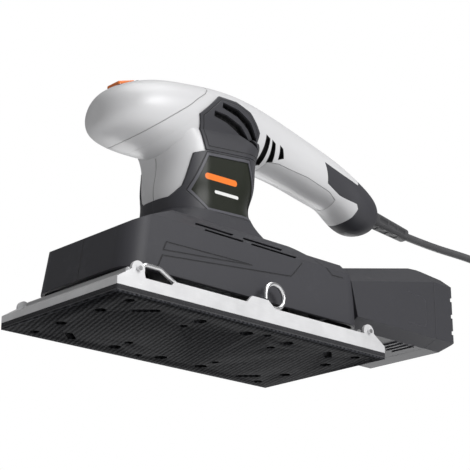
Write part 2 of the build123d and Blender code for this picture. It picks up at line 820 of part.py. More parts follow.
with BuildPart() as handle_shell:
    add(outer_form)
    add(handle_and_column(SHELL, 1.0), mode=Mode.SUBTRACT)
    for centre, reach in zip(HANDLE_SCREWS, HANDLE_BOSS_REACH):
        with BuildSketch(Plane.XZ):
            with Locations(centre):
                Circle(4.0)
        extrude(amount=reach, both=True)
    with BuildSketch(Plane.XZ):
        with Locations(*HANDLE_SCREWS):
            Circle(1.6)
    extrude(amount=11.5, both=True, mode=Mode.SUBTRACT)
    with BuildSketch(Plane.XZ.offset(-8.0)):
        with Locations(*HANDLE_SCREWS):
            Circle(3.1)
    extrude(amount=-32.0, mode=Mode.SUBTRACT)
    add(grip_insert.part, mode=Mode.SUBTRACT)
    add(rear_collar.part, mode=Mode.SUBTRACT)
    for outline in [VENT_TOP, VENT_BOTTOM] + SLITS:
        add(both_sides(side_prism(outline, 8.0, 40.0)), mode=Mode.SUBTRACT)
    with BuildSketch(boot_plane.offset(-20.0)):
        Circle(5.75)
    extrude(amount=30.0, mode=Mode.SUBTRACT)
    with BuildSketch(switch_plane.offset(-12.0)):
        RectangleRounded(18.5, 16.5, 1.5)
    extrude(amount=24.0, mode=Mode.SUBTRACT)

seam_plane = Plane(
    origin=(CAP_SEAM[0][0], 0.0, CAP_SEAM[0][1]),
    x_dir=(CAP_SEAM[1][0] - CAP_SEAM[0][0], 0.0, CAP_SEAM[1][1] - CAP_SEAM[0][1]),
    z_dir=(CAP_SEAM[0][1] - CAP_SEAM[1][1], 0.0, CAP_SEAM[1][0] - CAP_SEAM[0][0]),
)

with BuildPart() as pommel_cap:
    add(handle_shell.part)
    split(bisect_by=seam_plane, keep=Keep.TOP)
pommel_cap.part.label = "pommel_cap"
export_step(pommel_cap.part, "parts/pommel_cap.step")

with BuildPart() as handle_left:
    add(handle_shell.part)
    split(bisect_by=seam_plane, keep=Keep.BOTTOM)
    split(bisect_by=Plane.XZ, keep=Keep.TOP)
handle_left.part.label = "handle_left"
export_step(handle_left.part, "parts/handle_left.step")

with BuildPart() as handle_right:
    add(handle_shell.part)
    split(bisect_by=seam_plane, keep=Keep.BOTTOM)
    split(bisect_by=Plane.XZ, keep=Keep.BOTTOM)
handle_right.part.label = "handle_right"
export_step(handle_right.part, "parts/handle_right.step")

with BuildPart() as handle_screws:
    add(side_screws(HANDLE_SCREWS, 8.0))
handle_screws.part.label = "handle_screws"
export_step(handle_screws.part, "parts/handle_screws.step")


# ---------------------------------------------------------------- side trims, labels and vent shields
TRIM = [(-44.0, NECK_TOP), (-44.0, 88.0), (-40.0, 88.5), (-35.2, 95.8), (-30.6, 117.9), (-21.5, 121.0),
        (30.5, 127.5), (36.0, 124.0), (36.0, NECK_TOP)]
LABEL = [(-20.7, 117.6), (-31.0, 92.6), (-20.5, 81.5), (25.0, 84.5), (23.5, 100.0), (15.0, 122.0)]
SHIELD = [(-22.5, 121.3), (-30.5, 143.8), (-9.0, 164.5), (8.0, 166.0), (21.0, 162.0), (31.0, 150.0), (30.5, 127.9)]

with BuildPart() as trim_layer:
    add(handle_and_column(-TRIM_PROUD))
    add(outer_form, mode=Mode.SUBTRACT)

with BuildPart() as label_layer:
    add(handle_and_column(-0.7))
    add(outer_form, mode=Mode.SUBTRACT)

with BuildPart() as side_trim_left:
    add(trim_layer.part)
    add(side_prism(TRIM), mode=Mode.INTERSECT)
    add(side_prism(LABEL), mode=Mode.SUBTRACT)
side_trim_left.part.label = "side_trim_left"
export_step(side_trim_left.part, "parts/side_trim_left.step")

with BuildPart() as side_trim_right:
    mirror(side_trim_left.part, about=Plane.XZ)
side_trim_right.part.label = "side_trim_right"
export_step(side_trim_right.part, "parts/side_trim_right.step")

with BuildPart() as label_left:
    add(label_layer.part)
    add(side_prism(LABEL), mode=Mode.INTERSECT)
label_left.part.label = "label_left"
export_step(label_left.part, "parts/label_left.step")

with BuildPart() as label_right:
    mirror(label_left.part, about=Plane.XZ)
label_right.part.label = "label_right"
export_step(label_right.part, "parts/label_right.step")

with BuildPart() as vent_shield_left:
    add(trim_layer.part)
    add(side_prism(SHIELD), mode=Mode.INTERSECT)
    add(side_prism(VENT_TOP), mode=Mode.SUBTRACT)
    add(side_prism(VENT_BOTTOM), mode=Mode.SUBTRACT)
vent_shield_left.part.label = "vent_shield_left"
export_step(vent_shield_left.part, "parts/vent_shield_left.step")

with BuildPart() as vent_shield_right:
    mirror(vent_shield_left.part, about=Plane.XZ)
vent_shield_right.part.label = "vent_shield_right"
export_step(vent_shield_right.part, "parts/vent_shield_right.step")


# ---------------------------------------------------------------- switch
ROCKER_AXIS_DEPTH = 1.0
ROCKER_TILT = -7.0
rocker_pivot = switch_plane.from_local_coords((0, 0, -ROCKER_AXIS_DEPTH))

with BuildPart() as switch_body:
    with BuildSketch(switch_plane.offset(-18.0)):
        RectangleRounded(18.5, 16.5, 1.5)
    extrude(amount=17.7)
    with BuildSketch(switch_plane.offset(-5.0)):
        RectangleRounded(16.0, 13.8, 0.8)
    extrude(amount=6.0, mode=Mode.SUBTRACT)
    with BuildSketch(Plane.XZ.offset(-8.25)):
        with Locations((rocker_pivot.X, rocker_pivot.Z)):
            Circle(1.0)
    extrude(amount=16.5, mode=Mode.SUBTRACT)
switch_body.part.label = "switch_body"
export_step(switch_body.part, "parts/switch_body.step")

with BuildPart() as rocker:
    with BuildSketch(switch_plane.offset(-3.2)):
        RectangleRounded(14.6, 12.8, 1.2)
    extrude(amount=4.9)
    fillet(rocker.faces().sort_by(Axis(switch_plane.origin, switch_plane.z_dir))[-1].edges(), 1.2)
    with BuildSketch(switch_plane.offset(1.7)):
        with GridLocations(2.6, 1.0, 3, 1):
            Rectangle(0.8, 8.0)
    extrude(amount=-0.5, mode=Mode.SUBTRACT)

rocker_axis = Axis(rocker_pivot, (0, 1, 0))

with BuildPart() as rocker_switch:
    add(rocker.part.rotate(rocker_axis, -ROCKER_TILT))
    with BuildSketch(Plane(origin=rocker_pivot, z_dir=(0, 1, 0))):
        Circle(1.0 + RUNNING_FIT)
    extrude(amount=10.0, both=True, mode=Mode.SUBTRACT)
rocker_switch.part.label = "rocker_switch"
export_step(rocker_switch.part, "parts/rocker_switch.step")

with BuildPart() as rocker_pin:
    with BuildSketch(Plane(origin=rocker_pivot, z_dir=(0, 1, 0))):
        Circle(1.0)
    extrude(amount=8.2, both=True)
rocker_pin.part.label = "rocker_pin"
export_step(rocker_pin.part, "parts/rocker_pin.step")


# ---------------------------------------------------------------- cord entry
with BuildPart() as cord_boot:
    with BuildSketch(boot_plane.offset(-13.0)):
        Circle(5.75)
    extrude(amount=13.0)
    with BuildSketch(boot_plane):
        Circle(5.75)
    with BuildSketch(boot_plane.offset(BOOT_LENGTH)):
        Circle(4.6)
    loft()
    for step in range(6):
        with BuildSketch(boot_plane.offset(6.0 + 5.0 * step)):
            Circle(8.0)
            Circle(4.4, mode=Mode.SUBTRACT)
            Rectangle(16.0, 3.2, mode=Mode.SUBTRACT)
        extrude(amount=1.8, mode=Mode.SUBTRACT)
    with BuildSketch(boot_plane.offset(-15.0)):
        Circle(7.6)
    extrude(amount=3.0)
    with BuildSketch(boot_plane.offset(-16.0)):
        Circle(CORD / 2)
    extrude(amount=70.0, mode=Mode.SUBTRACT)
cord_boot.part.label = "cord_boot"
export_step(cord_boot.part, "parts/cord_boot.step")

with BuildPart() as cord_inner:
    with BuildSketch(boot_plane.offset(-44.0)):
        Circle(CORD / 2)
    extrude(amount=44.0 + BOOT_LENGTH)
cord_inner.part.label = "cord_inner"
export_step(cord_inner.part, "parts/cord_inner.step")

with BuildPart() as cord_clamp:
    with BuildSketch(boot_plane.offset(-34.0)):
        RectangleRounded(11.0, 20.0, 2.0)
        Circle(CORD / 2, mode=Mode.SUBTRACT)
    extrude(amount=8.0)
cord_clamp.part.label = "cord_clamp"
export_step(cord_clamp.part, "parts/cord_clamp.step")

with BuildPart() as capacitor:
    with BuildSketch(Plane.XY.offset(146.0)):
        with Locations((81.5, 0)):
            RectangleRounded(17.0, 12.0, 1.5)
    extrude(amount=11.0)
    fillet(capacitor.edges().group_by(Axis.Z)[-1], 1.2)
capacitor.part.label = "capacitor"
export_step(capacitor.part, "parts/capacitor.step")


# ---------------------------------------------------------------- mains cord
CORD_ROUTE = [
    CORD_EXIT,
    (239.0, -3.0, 121.5),
    (267.0, -12.0, 118.0),
    (293.0, -25.0, 110.0),
    (313.0, -38.0, 92.0),
    (324.0, -49.0, 66.0),
    (331.0, -56.0, 38.0),
    (345.0, -60.0, 13.0),
    (372.0, -61.0, 3.1),
]
LEAD_ROUTE = [(392.0, -57.0, 15.2), (426.0, -57.0, 15.2)]


def corner_radii(points):
    """Each corner's arc: 0.45 of the shorter run beside it, over the tangent of half the turn."""
    corners = [Vector(*point) for point in points]
    radii = []
    for before, corner, after in zip(corners, corners[1:], corners[2:]):
        arrive = corner - before
        leave = after - corner
        half_turn = radians(arrive.get_angle(leave)) / 2
        radii.append(0.45 * min(arrive.length, leave.length) / tan(half_turn))
    return radii


cord_radii = corner_radii(CORD_ROUTE)
print("cord corner radii:", [round(radius, 1) for radius in cord_radii])

with BuildPart() as cord_coil:
    with BuildSketch(Plane.XZ):
        with Locations((COIL_MEAN, COIL_HEIGHT / 2)):
            RectangleRounded(2 * COIL_BAND, COIL_HEIGHT, 2.8)
    revolve(axis=Axis.Z)
    add(cord_coil.part.moved(Location((COIL_CENTRE[0], COIL_CENTRE[1], 0))), mode=Mode.REPLACE)
cord_coil.part.label = "cord_coil"
export_step(cord_coil.part, "parts/cord_coil.step")

with BuildPart() as cord_tube:
    with BuildLine() as cord_path:
        FilletPolyline(*CORD_ROUTE, radius=cord_radii)
    cord_wire = cord_path.wires()[0]
    with BuildSketch(Plane(origin=cord_wire @ 0, z_dir=cord_wire % 0)):
        Circle(CORD / 2)
    sweep(path=cord_wire)
    cord_section = pi * CORD**2 / 4
    print("cord tube length:", round(cord_wire.length, 1))
    print("volume over section times length:", round(cord_tube.part.volume / cord_section / cord_wire.length, 4))
    add(cord_coil.part, mode=Mode.SUBTRACT)
cord_tube.part.label = "cord_tube"
export_step(cord_tube.part, "parts/cord_tube.step")

with BuildPart() as cord_lead:
    with BuildSketch(Plane.YZ.offset(LEAD_ROUTE[0][0])):
        with Locations(LEAD_ROUTE[0][1:]):
            Circle(CORD / 2)
    extrude(amount=LEAD_ROUTE[1][0] - LEAD_ROUTE[0][0])
    add(cord_coil.part, mode=Mode.SUBTRACT)
cord_lead.part.label = "cord_lead"
export_step(cord_lead.part, "parts/cord_lead.step")

PLUG_X = LEAD_ROUTE[1][0]
PLUG_Y = LEAD_ROUTE[1][1]
PLUG_Z = LEAD_ROUTE[1][2]


PLUG_SECTIONS = [(0.0, 9.6, 9.0), (12.0, 12.0, 11.4), (24.0, 29.0, 24.0), (32.0, 36.0, 29.0)]

with BuildPart() as plug_body:
    for offset_x, width, height in PLUG_SECTIONS:
        with BuildSketch(Plane.YZ.offset(PLUG_X + offset_x)):
            with Locations((PLUG_Y, PLUG_Z)):
                RectangleRounded(width, height, 0.42 * height)
    loft(ruled=True)
    extrude(plug_body.faces().sort_by(Axis.X)[-1], amount=8.0)
plug_body.part.label = "plug_body"
export_step(plug_body.part, "parts/plug_body.step")

PLUG_FACE = PLUG_X + 40.0
PIN_RADIUS = 2.4
PIN_LENGTH = 19.0
PIN_PITCH = 19.0

with BuildPart() as plug_pins:
    with BuildSketch(Plane.YZ.offset(PLUG_FACE)):
        with Locations((PLUG_Y, PLUG_Z)):
            with GridLocations(PIN_PITCH, 1, 2, 1):
                Circle(PIN_RADIUS)
    extrude(amount=PIN_LENGTH)
plug_pins.part.label = "plug_pins"
export_step(plug_pins.part, "parts/plug_pins.step")


# ---------------------------------------------------------------- dust path
PORT_WIDTH = 36.0
PORT_HEIGHT = 14.0
PORT_Z = 50.0
DUCT_END = 112.0

with BuildPart() as dust_duct:
    with BuildSketch(Plane.YZ.offset(46.0)):
        with Locations((0, PORT_Z)):
            RectangleRounded(PORT_WIDTH, PORT_HEIGHT, 3.0)
            RectangleRounded(PORT_WIDTH - 3.0, PORT_HEIGHT - 3.0, 1.5, mode=Mode.SUBTRACT)
    extrude(amount=DUCT_END - 46.0)
dust_duct.part.label = "dust_duct"
export_step(dust_duct.part, "parts/dust_duct.step")

JOINT_GAP = 0.5


def dust_box_solid(inset):
    """Dust box form: a flared chamfered tube trimmed by the side view, shrunk by inset."""
    stations = ((88.0, 52.2, 65.4), (LID_X, 72.4, 87.0), (212.0, 72.4, 87.0))
    with BuildPart() as solid:
        for x, shoulder, ridge in stations:
            with BuildSketch(Plane.YZ.offset(x)):
                with BuildLine():
                    Polyline(
                        (-33.0, 25.0),
                        (-BOX_HALF, 30.0),
                        (-BOX_HALF, shoulder),
                        (-27.0, ridge),
                        (27.0, ridge),
                        (BOX_HALF, shoulder),
                        (BOX_HALF, 30.0),
                        (33.0, 25.0),
                        close=True,
                    )
                make_face()
                if inset:
                    offset(amount=-inset, kind=Kind.INTERSECTION, mode=Mode.REPLACE)
        loft(ruled=True)
        with BuildSketch(Plane.XZ):
            with BuildLine():
                Polyline(
                    (103.75 + JOINT_GAP, 25.0),
                    (103.2 + JOINT_GAP, 27.3),
                    (96.7 + JOINT_GAP, 54.0),
                    (93.8 + JOINT_GAP, DECK + 1.0),
                    (176.0, 86.0),
                    (190.0, 84.5),
                    (BOX_REAR, 80.0),
                    (BOX_REAR, 29.0),
                    (BOX_REAR - 3.0, 25.0),
                    close=True,
                )
            make_face()
            if inset:
                offset(amount=-inset, kind=Kind.INTERSECTION, mode=Mode.REPLACE)
        extrude(amount=60.0, both=True, mode=Mode.INTERSECT)
    return solid.part


box_form = dust_box_solid(0)
box_cavity = dust_box_solid(BOX_WALL)

with BuildPart() as dust_box:
    add(box_form)
    with Locations((LID_X + 50.0, 0, 50.0)):
        Box(100.0, 120.0, 120.0, mode=Mode.SUBTRACT)
    add(box_cavity, mode=Mode.SUBTRACT)
    with BuildSketch(Plane.YZ.offset(90.0)):
        with Locations((0, PORT_Z)):
            RectangleRounded(PORT_WIDTH + 0.8, PORT_HEIGHT + 0.8, 3.4)
    extrude(amount=20.0, mode=Mode.SUBTRACT)
    for step in range(4):
        for side in (-1, 1):
            with BuildSketch(Plane.XY.offset(24.0)):
                with Locations((158.0 + 6.0 * step, side * 22.0)):
                    RectangleRounded(2.4, 20.0, 1.1)
            extrude(amount=1.5)
dust_box.part.label = "dust_box"
export_step(dust_box.part, "parts/dust_box.step")

with BuildPart() as dust_lid:
    add(box_form)
    with Locations((LID_X - 49.8, 0, 50.0)):
        Box(100.0, 120.0, 120.0, mode=Mode.SUBTRACT)
    add(box_cavity, mode=Mode.SUBTRACT)
    for z in (62.6, 50.1, 37.7):
        with BuildSketch(Plane.XY.offset(z - 1.5)):
            with Locations((LID_X + 10.0, 0)):
                Rectangle(2 * (BOX_REAR - LID_X), 2 * BOX_HALF + 10.0)
            with Locations((LID_X + 3.0, 0)):
                RectangleRounded(2 * (BOX_REAR - LID_X) - 9.2, 2 * BOX_HALF + 30.0, 4.0, mode=Mode.SUBTRACT)
        extrude(amount=3.0, mode=Mode.SUBTRACT)
dust_lid.part.label = "dust_lid"
export_step(dust_lid.part, "parts/dust_lid.step")

with BuildPart() as dust_filter:
    with BuildSketch(Plane.YZ.offset(LID_X - 5.0)):
        with Locations((0, 54.0)):
            RectangleRounded(70.0, 34.0, 3.0)
    extrude(amount=4.5)
    with BuildSketch(Plane.XY.offset(40.0)):
        with Locations((LID_X - 5.0, 0)):
            with GridLocations(1, 5.0, 1, 12):
                Rectangle(4.4, 2.2)
    extrude(amount=28.0, mode=Mode.SUBTRACT)
dust_filter.part.label = "dust_filter"
export_step(dust_filter.part, "parts/dust_filter.step")
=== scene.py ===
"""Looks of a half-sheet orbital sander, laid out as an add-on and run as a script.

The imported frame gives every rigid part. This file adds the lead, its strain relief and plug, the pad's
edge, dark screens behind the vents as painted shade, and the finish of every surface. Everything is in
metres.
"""

from math import cos, pi, radians, sin

import bmesh
import bpy
import numpy as np
from bpy.props import FloatProperty, FloatVectorProperty, IntProperty, PointerProperty
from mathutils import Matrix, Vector


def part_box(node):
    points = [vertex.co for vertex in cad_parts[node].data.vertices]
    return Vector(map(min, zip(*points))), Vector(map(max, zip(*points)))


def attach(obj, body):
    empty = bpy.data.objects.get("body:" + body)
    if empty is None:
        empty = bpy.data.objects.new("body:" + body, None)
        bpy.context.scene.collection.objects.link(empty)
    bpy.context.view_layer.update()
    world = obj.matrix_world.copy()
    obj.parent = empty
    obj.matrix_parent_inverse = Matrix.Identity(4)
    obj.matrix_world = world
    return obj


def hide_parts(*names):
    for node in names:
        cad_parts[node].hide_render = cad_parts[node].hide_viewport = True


bl_info = {
    "name": "Orbital Sander",
    "version": (1, 0, 0),
    "blender": (4, 5, 0),
    "location": "View3D > Sidebar > Sander",
    "description": "Builds the lead, soft parts and finishes of a half-sheet orbital sander",
    "category": "Object",
}

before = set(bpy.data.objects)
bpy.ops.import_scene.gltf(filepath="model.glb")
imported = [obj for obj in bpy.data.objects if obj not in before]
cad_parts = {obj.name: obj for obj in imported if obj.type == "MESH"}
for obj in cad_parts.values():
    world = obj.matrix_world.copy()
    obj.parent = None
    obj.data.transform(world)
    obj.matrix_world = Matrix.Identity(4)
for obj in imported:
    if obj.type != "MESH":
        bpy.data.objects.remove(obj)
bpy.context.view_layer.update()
MM = 0.001


# ---------------------------------------------------------------- shader helper
class Value:
    """A shader socket that takes part in arithmetic: each operator adds one Math node."""

    def __init__(self, shader, socket):
        self.shader = shader
        self.socket = socket

    def __add__(self, other):
        return self.shader.math("ADD", self, other)

    def __sub__(self, other):
        return self.shader.math("SUBTRACT", self, other)

    def __rsub__(self, other):
        return self.shader.math("SUBTRACT", other, self)

    def __mul__(self, other):
        return self.shader.math("MULTIPLY", self, other)

    def __pow__(self, other):
        return self.shader.math("POWER", self, other)

    def __abs__(self):
        return self.shader.math("ABSOLUTE", self)

    __radd__ = __add__
    __rmul__ = __mul__

    def above(self, limit, softness):
        """0 below the limit, 1 above it, with a ramp of the given width between."""
        settings = {"clamp": True}
        sockets = {"Value": self, "From Min": limit - softness / 2, "From Max": limit + softness / 2}
        return self.shader.node("ShaderNodeMapRange", settings, sockets, "Result")


class Shader:
    """One material: a Principled BSDF, and the nodes that feed it."""

    def __init__(self, name, **constants):
        self.material = bpy.data.materials.new(name)
        self.material.use_nodes = True
        self.tree = self.material.node_tree
        self.principled = next(n for n in self.tree.nodes if n.type == "BSDF_PRINCIPLED")
        for socket, value in constants.items():
            self.principled.inputs[socket.replace("_", " ")].default_value = value
        self.place = self.node("ShaderNodeTexCoord", {}, {}, "Object")
        self.rounded = None

    def node(self, kind, settings, sockets, output=0):
        """Adds a node, sets its settings, then fills its sockets with values or links."""
        made = self.tree.nodes.new(kind)
        for name, value in settings.items():
            setattr(made, name, value)
        for name, value in sockets.items():
            if isinstance(value, Value):
                self.tree.links.new(value.socket, made.inputs[name])
            else:
                made.inputs[name].default_value = value
        return Value(self, made.outputs[output])

    def math(self, operation, *values):
        """One Math node on numbers or values."""
        return self.node("ShaderNodeMath", {"operation": operation}, dict(enumerate(values)))

    def mix(self, factor, low, high):
        """A colour between low and high, each a colour or a value."""
        low, high = (end if isinstance(end, Value) else (*end, 1.0) for end in (low, high))
        return self.node("ShaderNodeMix", {"data_type": "RGBA"}, {0: factor, 6: low, 7: high}, 2)

    def stretched(self, x, y, z, turn=(0.0, 0.0, 0.0)):
        """Object coordinates scaled along each axis, then turned by degrees."""
        sockets = {"Vector": self.place, "Scale": (x, y, z), "Rotation": [radians(a) for a in turn]}
        return self.node("ShaderNodeMapping", {}, sockets)

    def noise(self, scale, detail=2.0, roughness=0.5, place=None):
        """Soft random clouds, with scale of them in a metre."""
        sockets = {"Vector": place or self.place, "Scale": scale, "Detail": detail, "Roughness": roughness}
        return self.node("ShaderNodeTexNoise", {}, sockets)

    def cells(self, scale):
        """Distance to the nearest of scattered points, in cells."""
        return self.node("ShaderNodeTexVoronoi", {}, {"Vector": self.place, "Scale": scale}, "Distance")

    def bands(self, scale, place, distortion=0.0):
        """Sine bands across the X of a place."""
        settings = {"wave_type": "BANDS", "bands_direction": "X"}
        sockets = {"Vector": place, "Scale": scale, "Distortion": distortion}
        return self.node("ShaderNodeTexWave", settings, sockets)

    def axis(self, letter):
        """One of the three object coordinates."""
        return self.node("ShaderNodeSeparateXYZ", {}, {0: self.place}, letter)

    def offset(self, start, direction):
        """Distance gone from a start in the XZ plane along a unit direction."""
        gone = (self.axis("X") - start[0] * MM) * direction[0]
        return gone + (self.axis("Z") - start[1] * MM) * direction[1]

    def inside(self, outline):
        """Depth inside a convex outline in the XZ plane: the least distance to its edges, below 0 outside."""
        corners = np.array(outline, float)
        following = np.roll(corners, -1, 0)
        area = (corners[:, 0] * following[:, 1] - following[:, 0] * corners[:, 1]).sum()
        depth = None
        for start, end in zip(corners, following):
            run = (end - start) / np.hypot(*(end - start)) * np.sign(area)
            edge = self.offset(start, (-run[1], run[0]))
            depth = edge if depth is None else self.math("MINIMUM", depth, edge)
        return depth

    def stroke(self, route):
        """Distance to a line drawn from point to point in the XZ plane."""
        nearest = None
        for start, end in zip(route, route[1:]):
            run = np.subtract(end, start)
            length = np.hypot(*run)
            run = run / length
            along = self.offset(start, run)
            beyond = along - self.math("MINIMUM", self.math("MAXIMUM", along, 0.0), length * MM)
            across = self.offset(start, (-run[1], run[0]))
            away = (across * across + beyond * beyond) ** 0.5
            nearest = away if nearest is None else self.math("MINIMUM", nearest, away)
        return nearest

    def line(self, distance, half_width, softness):
        """1 on a line and 0 off it, from the distance to the line."""
        return 1.0 - distance.above(half_width, softness)

    def either(self, *masks):
        """1 where any mask is."""
        whole = masks[0]
        for mask in masks[1:]:
            whole = self.math("MAXIMUM", whole, mask)
        return whole

    def soften(self, radius):
        """Rounds hard edges by the given radius in the shading, and returns how near an edge is."""
        self.rounded = self.node("ShaderNodeBevel", {"samples": 6}, {"Radius": radius})
        flat = self.node("ShaderNodeNewGeometry", {}, {}, "Normal")
        settings = {"operation": "DOT_PRODUCT"}
        agreement = self.node("ShaderNodeVectorMath", settings, {0: self.rounded, 1: flat}, "Value")
        return (1.0 - agreement).above(0.035, 0.06)

    def feed(self, socket, value):
        """Links a value to a socket of the Principled BSDF."""
        self.tree.links.new(value.socket, self.principled.inputs[socket])

    def relief(self, height, distance):
        """Feeds a bump of the given depth in metres into the surface normal."""
        sockets = {"Height": height, "Distance": distance, "Strength": 1.0}
        if self.rounded:
            sockets["Normal"] = self.rounded
        self.feed("Normal", self.node("ShaderNodeBump", {}, sockets))


# ---------------------------------------------------------------- outlines, in millimetres along X and Z
SHIELD = [(-22.5, 121.3), (-30.5, 143.8), (-9, 164.5), (8, 166), (21, 162), (31, 150), (30.5, 127.9)]
LABEL = [(-20.7, 117.6), (-31, 92.6), (-20.5, 81.5), (25, 84.5), (23.5, 100), (15, 122)]
LABEL_BAND = [(-20.5, 103.6), (3.0, 104.4)]
LABEL_BAR = [(-13.0, 94.6), (6.0, 95.2)]
SLITS = [
    [(39.5, 152), (43.5, 150.5), (44.8, 135.4), (40, 134.2)],
    [(46.2, 150.2), (49.6, 148.8), (53, 138.4), (48.6, 137.4)],
    [(54.8, 148.9), (57.8, 147.6), (61, 142.2), (57, 140.6)],
]
POMMEL_SEAM = [
    (-73, 119.5),
    (-69.5, 122),
    (-66, 124.8),
    (-54, 134.8),
    (-39, 147),
    (-31, 154.4),
    (-21, 162.5),
    (-15.5, 168.5),
    (-14, 172.5),
    (-17, 176.5),
    (-24, 179),
]
GRIP = [
    (40, 118),
    (49.5, 137.3),
    (60, 138.2),
    (88, 135.8),
    (111, 131),
    (119, 127.5),
    (119, 122.5),
    (113, 112),
]
WEDGE = [(2.2, 43.7), (-71.9, 36.9), (-69.2, 42.6), (-0.4, 43.9)]
SWEEP = [(-76.5, 25.0), (-72.6, 33.2), (37.5, 44.0), (42.2, 48.5), (48.5, 55.4)]
REAR_CREASE = [(66.0, 62.5), (77.7, 53.5), (88.0, 53.9)]
BOX_PANEL = [(156.8, 59.2), (174.0, 57.8), (176.3, 55.0), (176.3, 38.6), (174.5, 36.6), (156.5, 36.2)]


# ---------------------------------------------------------------- finishes
def tint(colour, factor):
    """A colour made lighter or darker."""
    return tuple(min(1.0, channel * factor) for channel in colour)


def moulded_plastic(name, colour, grain_size, gloss, grooves=(), ridges=(), front_split=False):
    """Injection-moulded shell: spark-eroded grain, flow clouds and rubbed edges.

    Grooves are engraved along routes and painted near black in them, as painted shade; ridges stand up along
    routes and are painted lighter, as a painted highlight. front_split adds the joint between the left and
    right halves on the front wall.
    """
    shader = Shader(name, Specular_IOR_Level=0.4)
    edge = shader.soften(0.0008)
    clouds = shader.noise(14.0, 3.0)
    grain = shader.noise(1000.0 / grain_size, 2.0, 0.6)
    rubbed = shader.noise(55.0, 4.0, 0.65).above(0.62, 0.12)
    worn = edge * shader.noise(180.0, 3.0).above(0.45, 0.3)
    shade = clouds * 0.45 + grain * 0.3 + rubbed * 0.1 + worn * 0.35
    paint = shader.mix(shade, tint(colour, 0.78), tint(colour, 1.3))
    height = grain * 0.02
    distances = [shader.stroke(route) for route in grooves]
    if front_split:
        behind_front = shader.axis("X").above(-0.05, 0.002)
        distances.append(abs(shader.axis("Y")) + behind_front)
    for distance in distances:
        groove = shader.line(distance, 0.00038, 0.0003)
        height = height - groove
        # Painted shade: grooves are painted near black, and the front joint gets the same dark line.
        paint = shader.mix(groove * 0.72, paint, tint(colour, 0.12))
    for route in ridges:
        ridge_highlight = shader.line(shader.stroke(route), 0.0004, 0.0006)
        height = height + ridge_highlight
        # Painted highlight: ridges are painted lighter along their routes.
        paint = shader.mix(ridge_highlight * 0.4, paint, tint(colour, 2.0))
    shader.feed("Base Color", paint)
    shader.feed("Roughness", gloss + grain * 0.14 + clouds * 0.06 - rubbed * 0.08)
    shader.relief(height, 0.0005)
    return shader.material


def frame_plastic(name, colour, outline, groove_depth, lip_highlight=False):
    """Moulded frame with a groove at a depth inside an outline, or outside it where the depth is below 0.

    With the flag set, the bevel between the groove and the outline is painted lighter, as a painted
    highlight.
    The groove is painted near black, as painted shade.
    """
    shader = Shader(name, Specular_IOR_Level=0.45)
    edge = shader.soften(0.0006)
    clouds = shader.noise(20.0, 3.0)
    grain = shader.noise(2600.0, 2.0, 0.6)
    depth = shader.inside(outline)
    past_groove = depth - groove_depth
    shade = clouds * 0.4 + grain * 0.25 + edge * 0.35
    paint = shader.mix(shade, tint(colour, 0.8), tint(colour, 1.3))
    if lip_highlight:
        # Painted highlight on the bevel between the groove and the outline.
        lit_lip = past_groove.above(0.0, 0.0004) - depth.above(0.0004, 0.0004)
        paint = shader.mix(lit_lip * 0.7, paint, tint(colour, 2.3))
    groove = shader.line(abs(past_groove), 0.0003, 0.0003)
    # Painted shade: the groove is painted near black.
    shader.feed("Base Color", shader.mix(groove * 0.75, paint, tint(colour, 0.15)))
    shader.feed("Roughness", 0.38 + grain * 0.12 + clouds * 0.06)
    shader.relief(grain * 0.02 - groove, 0.0005)
    return shader.material


def silver_plastic(name, colour, whole_handle=False):
    """Satin plastic with fine metallic flake.

    whole_handle adds the joint lines, and paints the inside of the vents and slits black, as painted shade.
    """
    shader = Shader(name, Specular_IOR_Level=0.5, Coat_Weight=0.12, Coat_Roughness=0.3)
    edge = shader.soften(0.0004)
    flake = shader.cells(2400.0)
    clouds = shader.noise(9.0, 2.0)
    wear = shader.noise(70.0, 5.0, 0.7).above(0.66, 0.08)
    shade = clouds * 0.45 + flake * 0.35 + wear * 0.1 + edge * 0.1
    paint = shader.mix(shade, tint(colour, 0.94), tint(colour, 1.06))
    height = flake * 0.01
    if whole_handle:
        joint = handle_joints(shader)
        paint = shader.mix(joint * 0.6, paint, tint(colour, 0.2))
        height = height - joint
        # Painted shade: near black inside the vent and slit outlines, where the hollow handle lies in shade.
        vent_shade = shader.inside(SHIELD).above(0.0015, 0.0003)
        for slit in SLITS:
            vent_shade = shader.either(vent_shade, shader.inside(slit).above(-0.0003, 0.0002))
        paint = shader.mix(vent_shade, paint, (0.008, 0.008, 0.009))
    shader.feed("Base Color", paint)
    shader.feed("Metallic", flake.above(0.55, 0.3) * 0.2)
    shader.feed("Roughness", 0.38 + flake * 0.1 + clouds * 0.05 + wear * 0.06)
    shader.relief(height, 0.0004)
    return shader.material


def handle_joints(shader):
    """Lines round the pommel cap and the grip insert, and down the front of the column."""
    seam = shader.line(shader.stroke(POMMEL_SEAM), 0.00026, 0.00025)
    grip_joint = shader.line(shader.stroke(GRIP), 0.00028, 0.00025)
    front = 1.0 - shader.axis("X").above(-0.03, 0.001)
    low = 1.0 - shader.axis("Z").above(0.1185, 0.0005)
    split = shader.line(abs(shader.axis("Y")), 0.00025, 0.00025) * front * low
    return shader.either(seam, grip_joint, split)


def brushed_aluminium(name, colour):
    """Bare rolled sheet: fine lengthwise brushing, dull stains and short handling scratches."""
    shader = Shader(name, Metallic=0.5)
    edge = shader.soften(0.0004)
    brushing = shader.noise(1.0, 3.0, 0.6, shader.stretched(90.0, 3200.0, 3200.0))
    stains = shader.noise(38.0, 4.0, 0.6)
    scratches = shader.noise(1.0, 2.0, 0.5, shader.stretched(260.0, 2600.0, 1100.0, (0.0, 24.0, 0.0)))
    marks = scratches.above(0.7, 0.05)
    shade = brushing * 0.4 + stains.above(0.5, 0.35) * 0.4 + marks * 0.1 + edge * 0.2
    shader.feed("Base Color", shader.mix(shade, tint(colour, 0.72), tint(colour, 1.12)))
    shader.feed("Roughness", 0.44 + brushing * 0.16 + stains * 0.16 - marks * 0.1)
    shader.relief(brushing + marks * 0.5, 0.00002)
    return shader.material


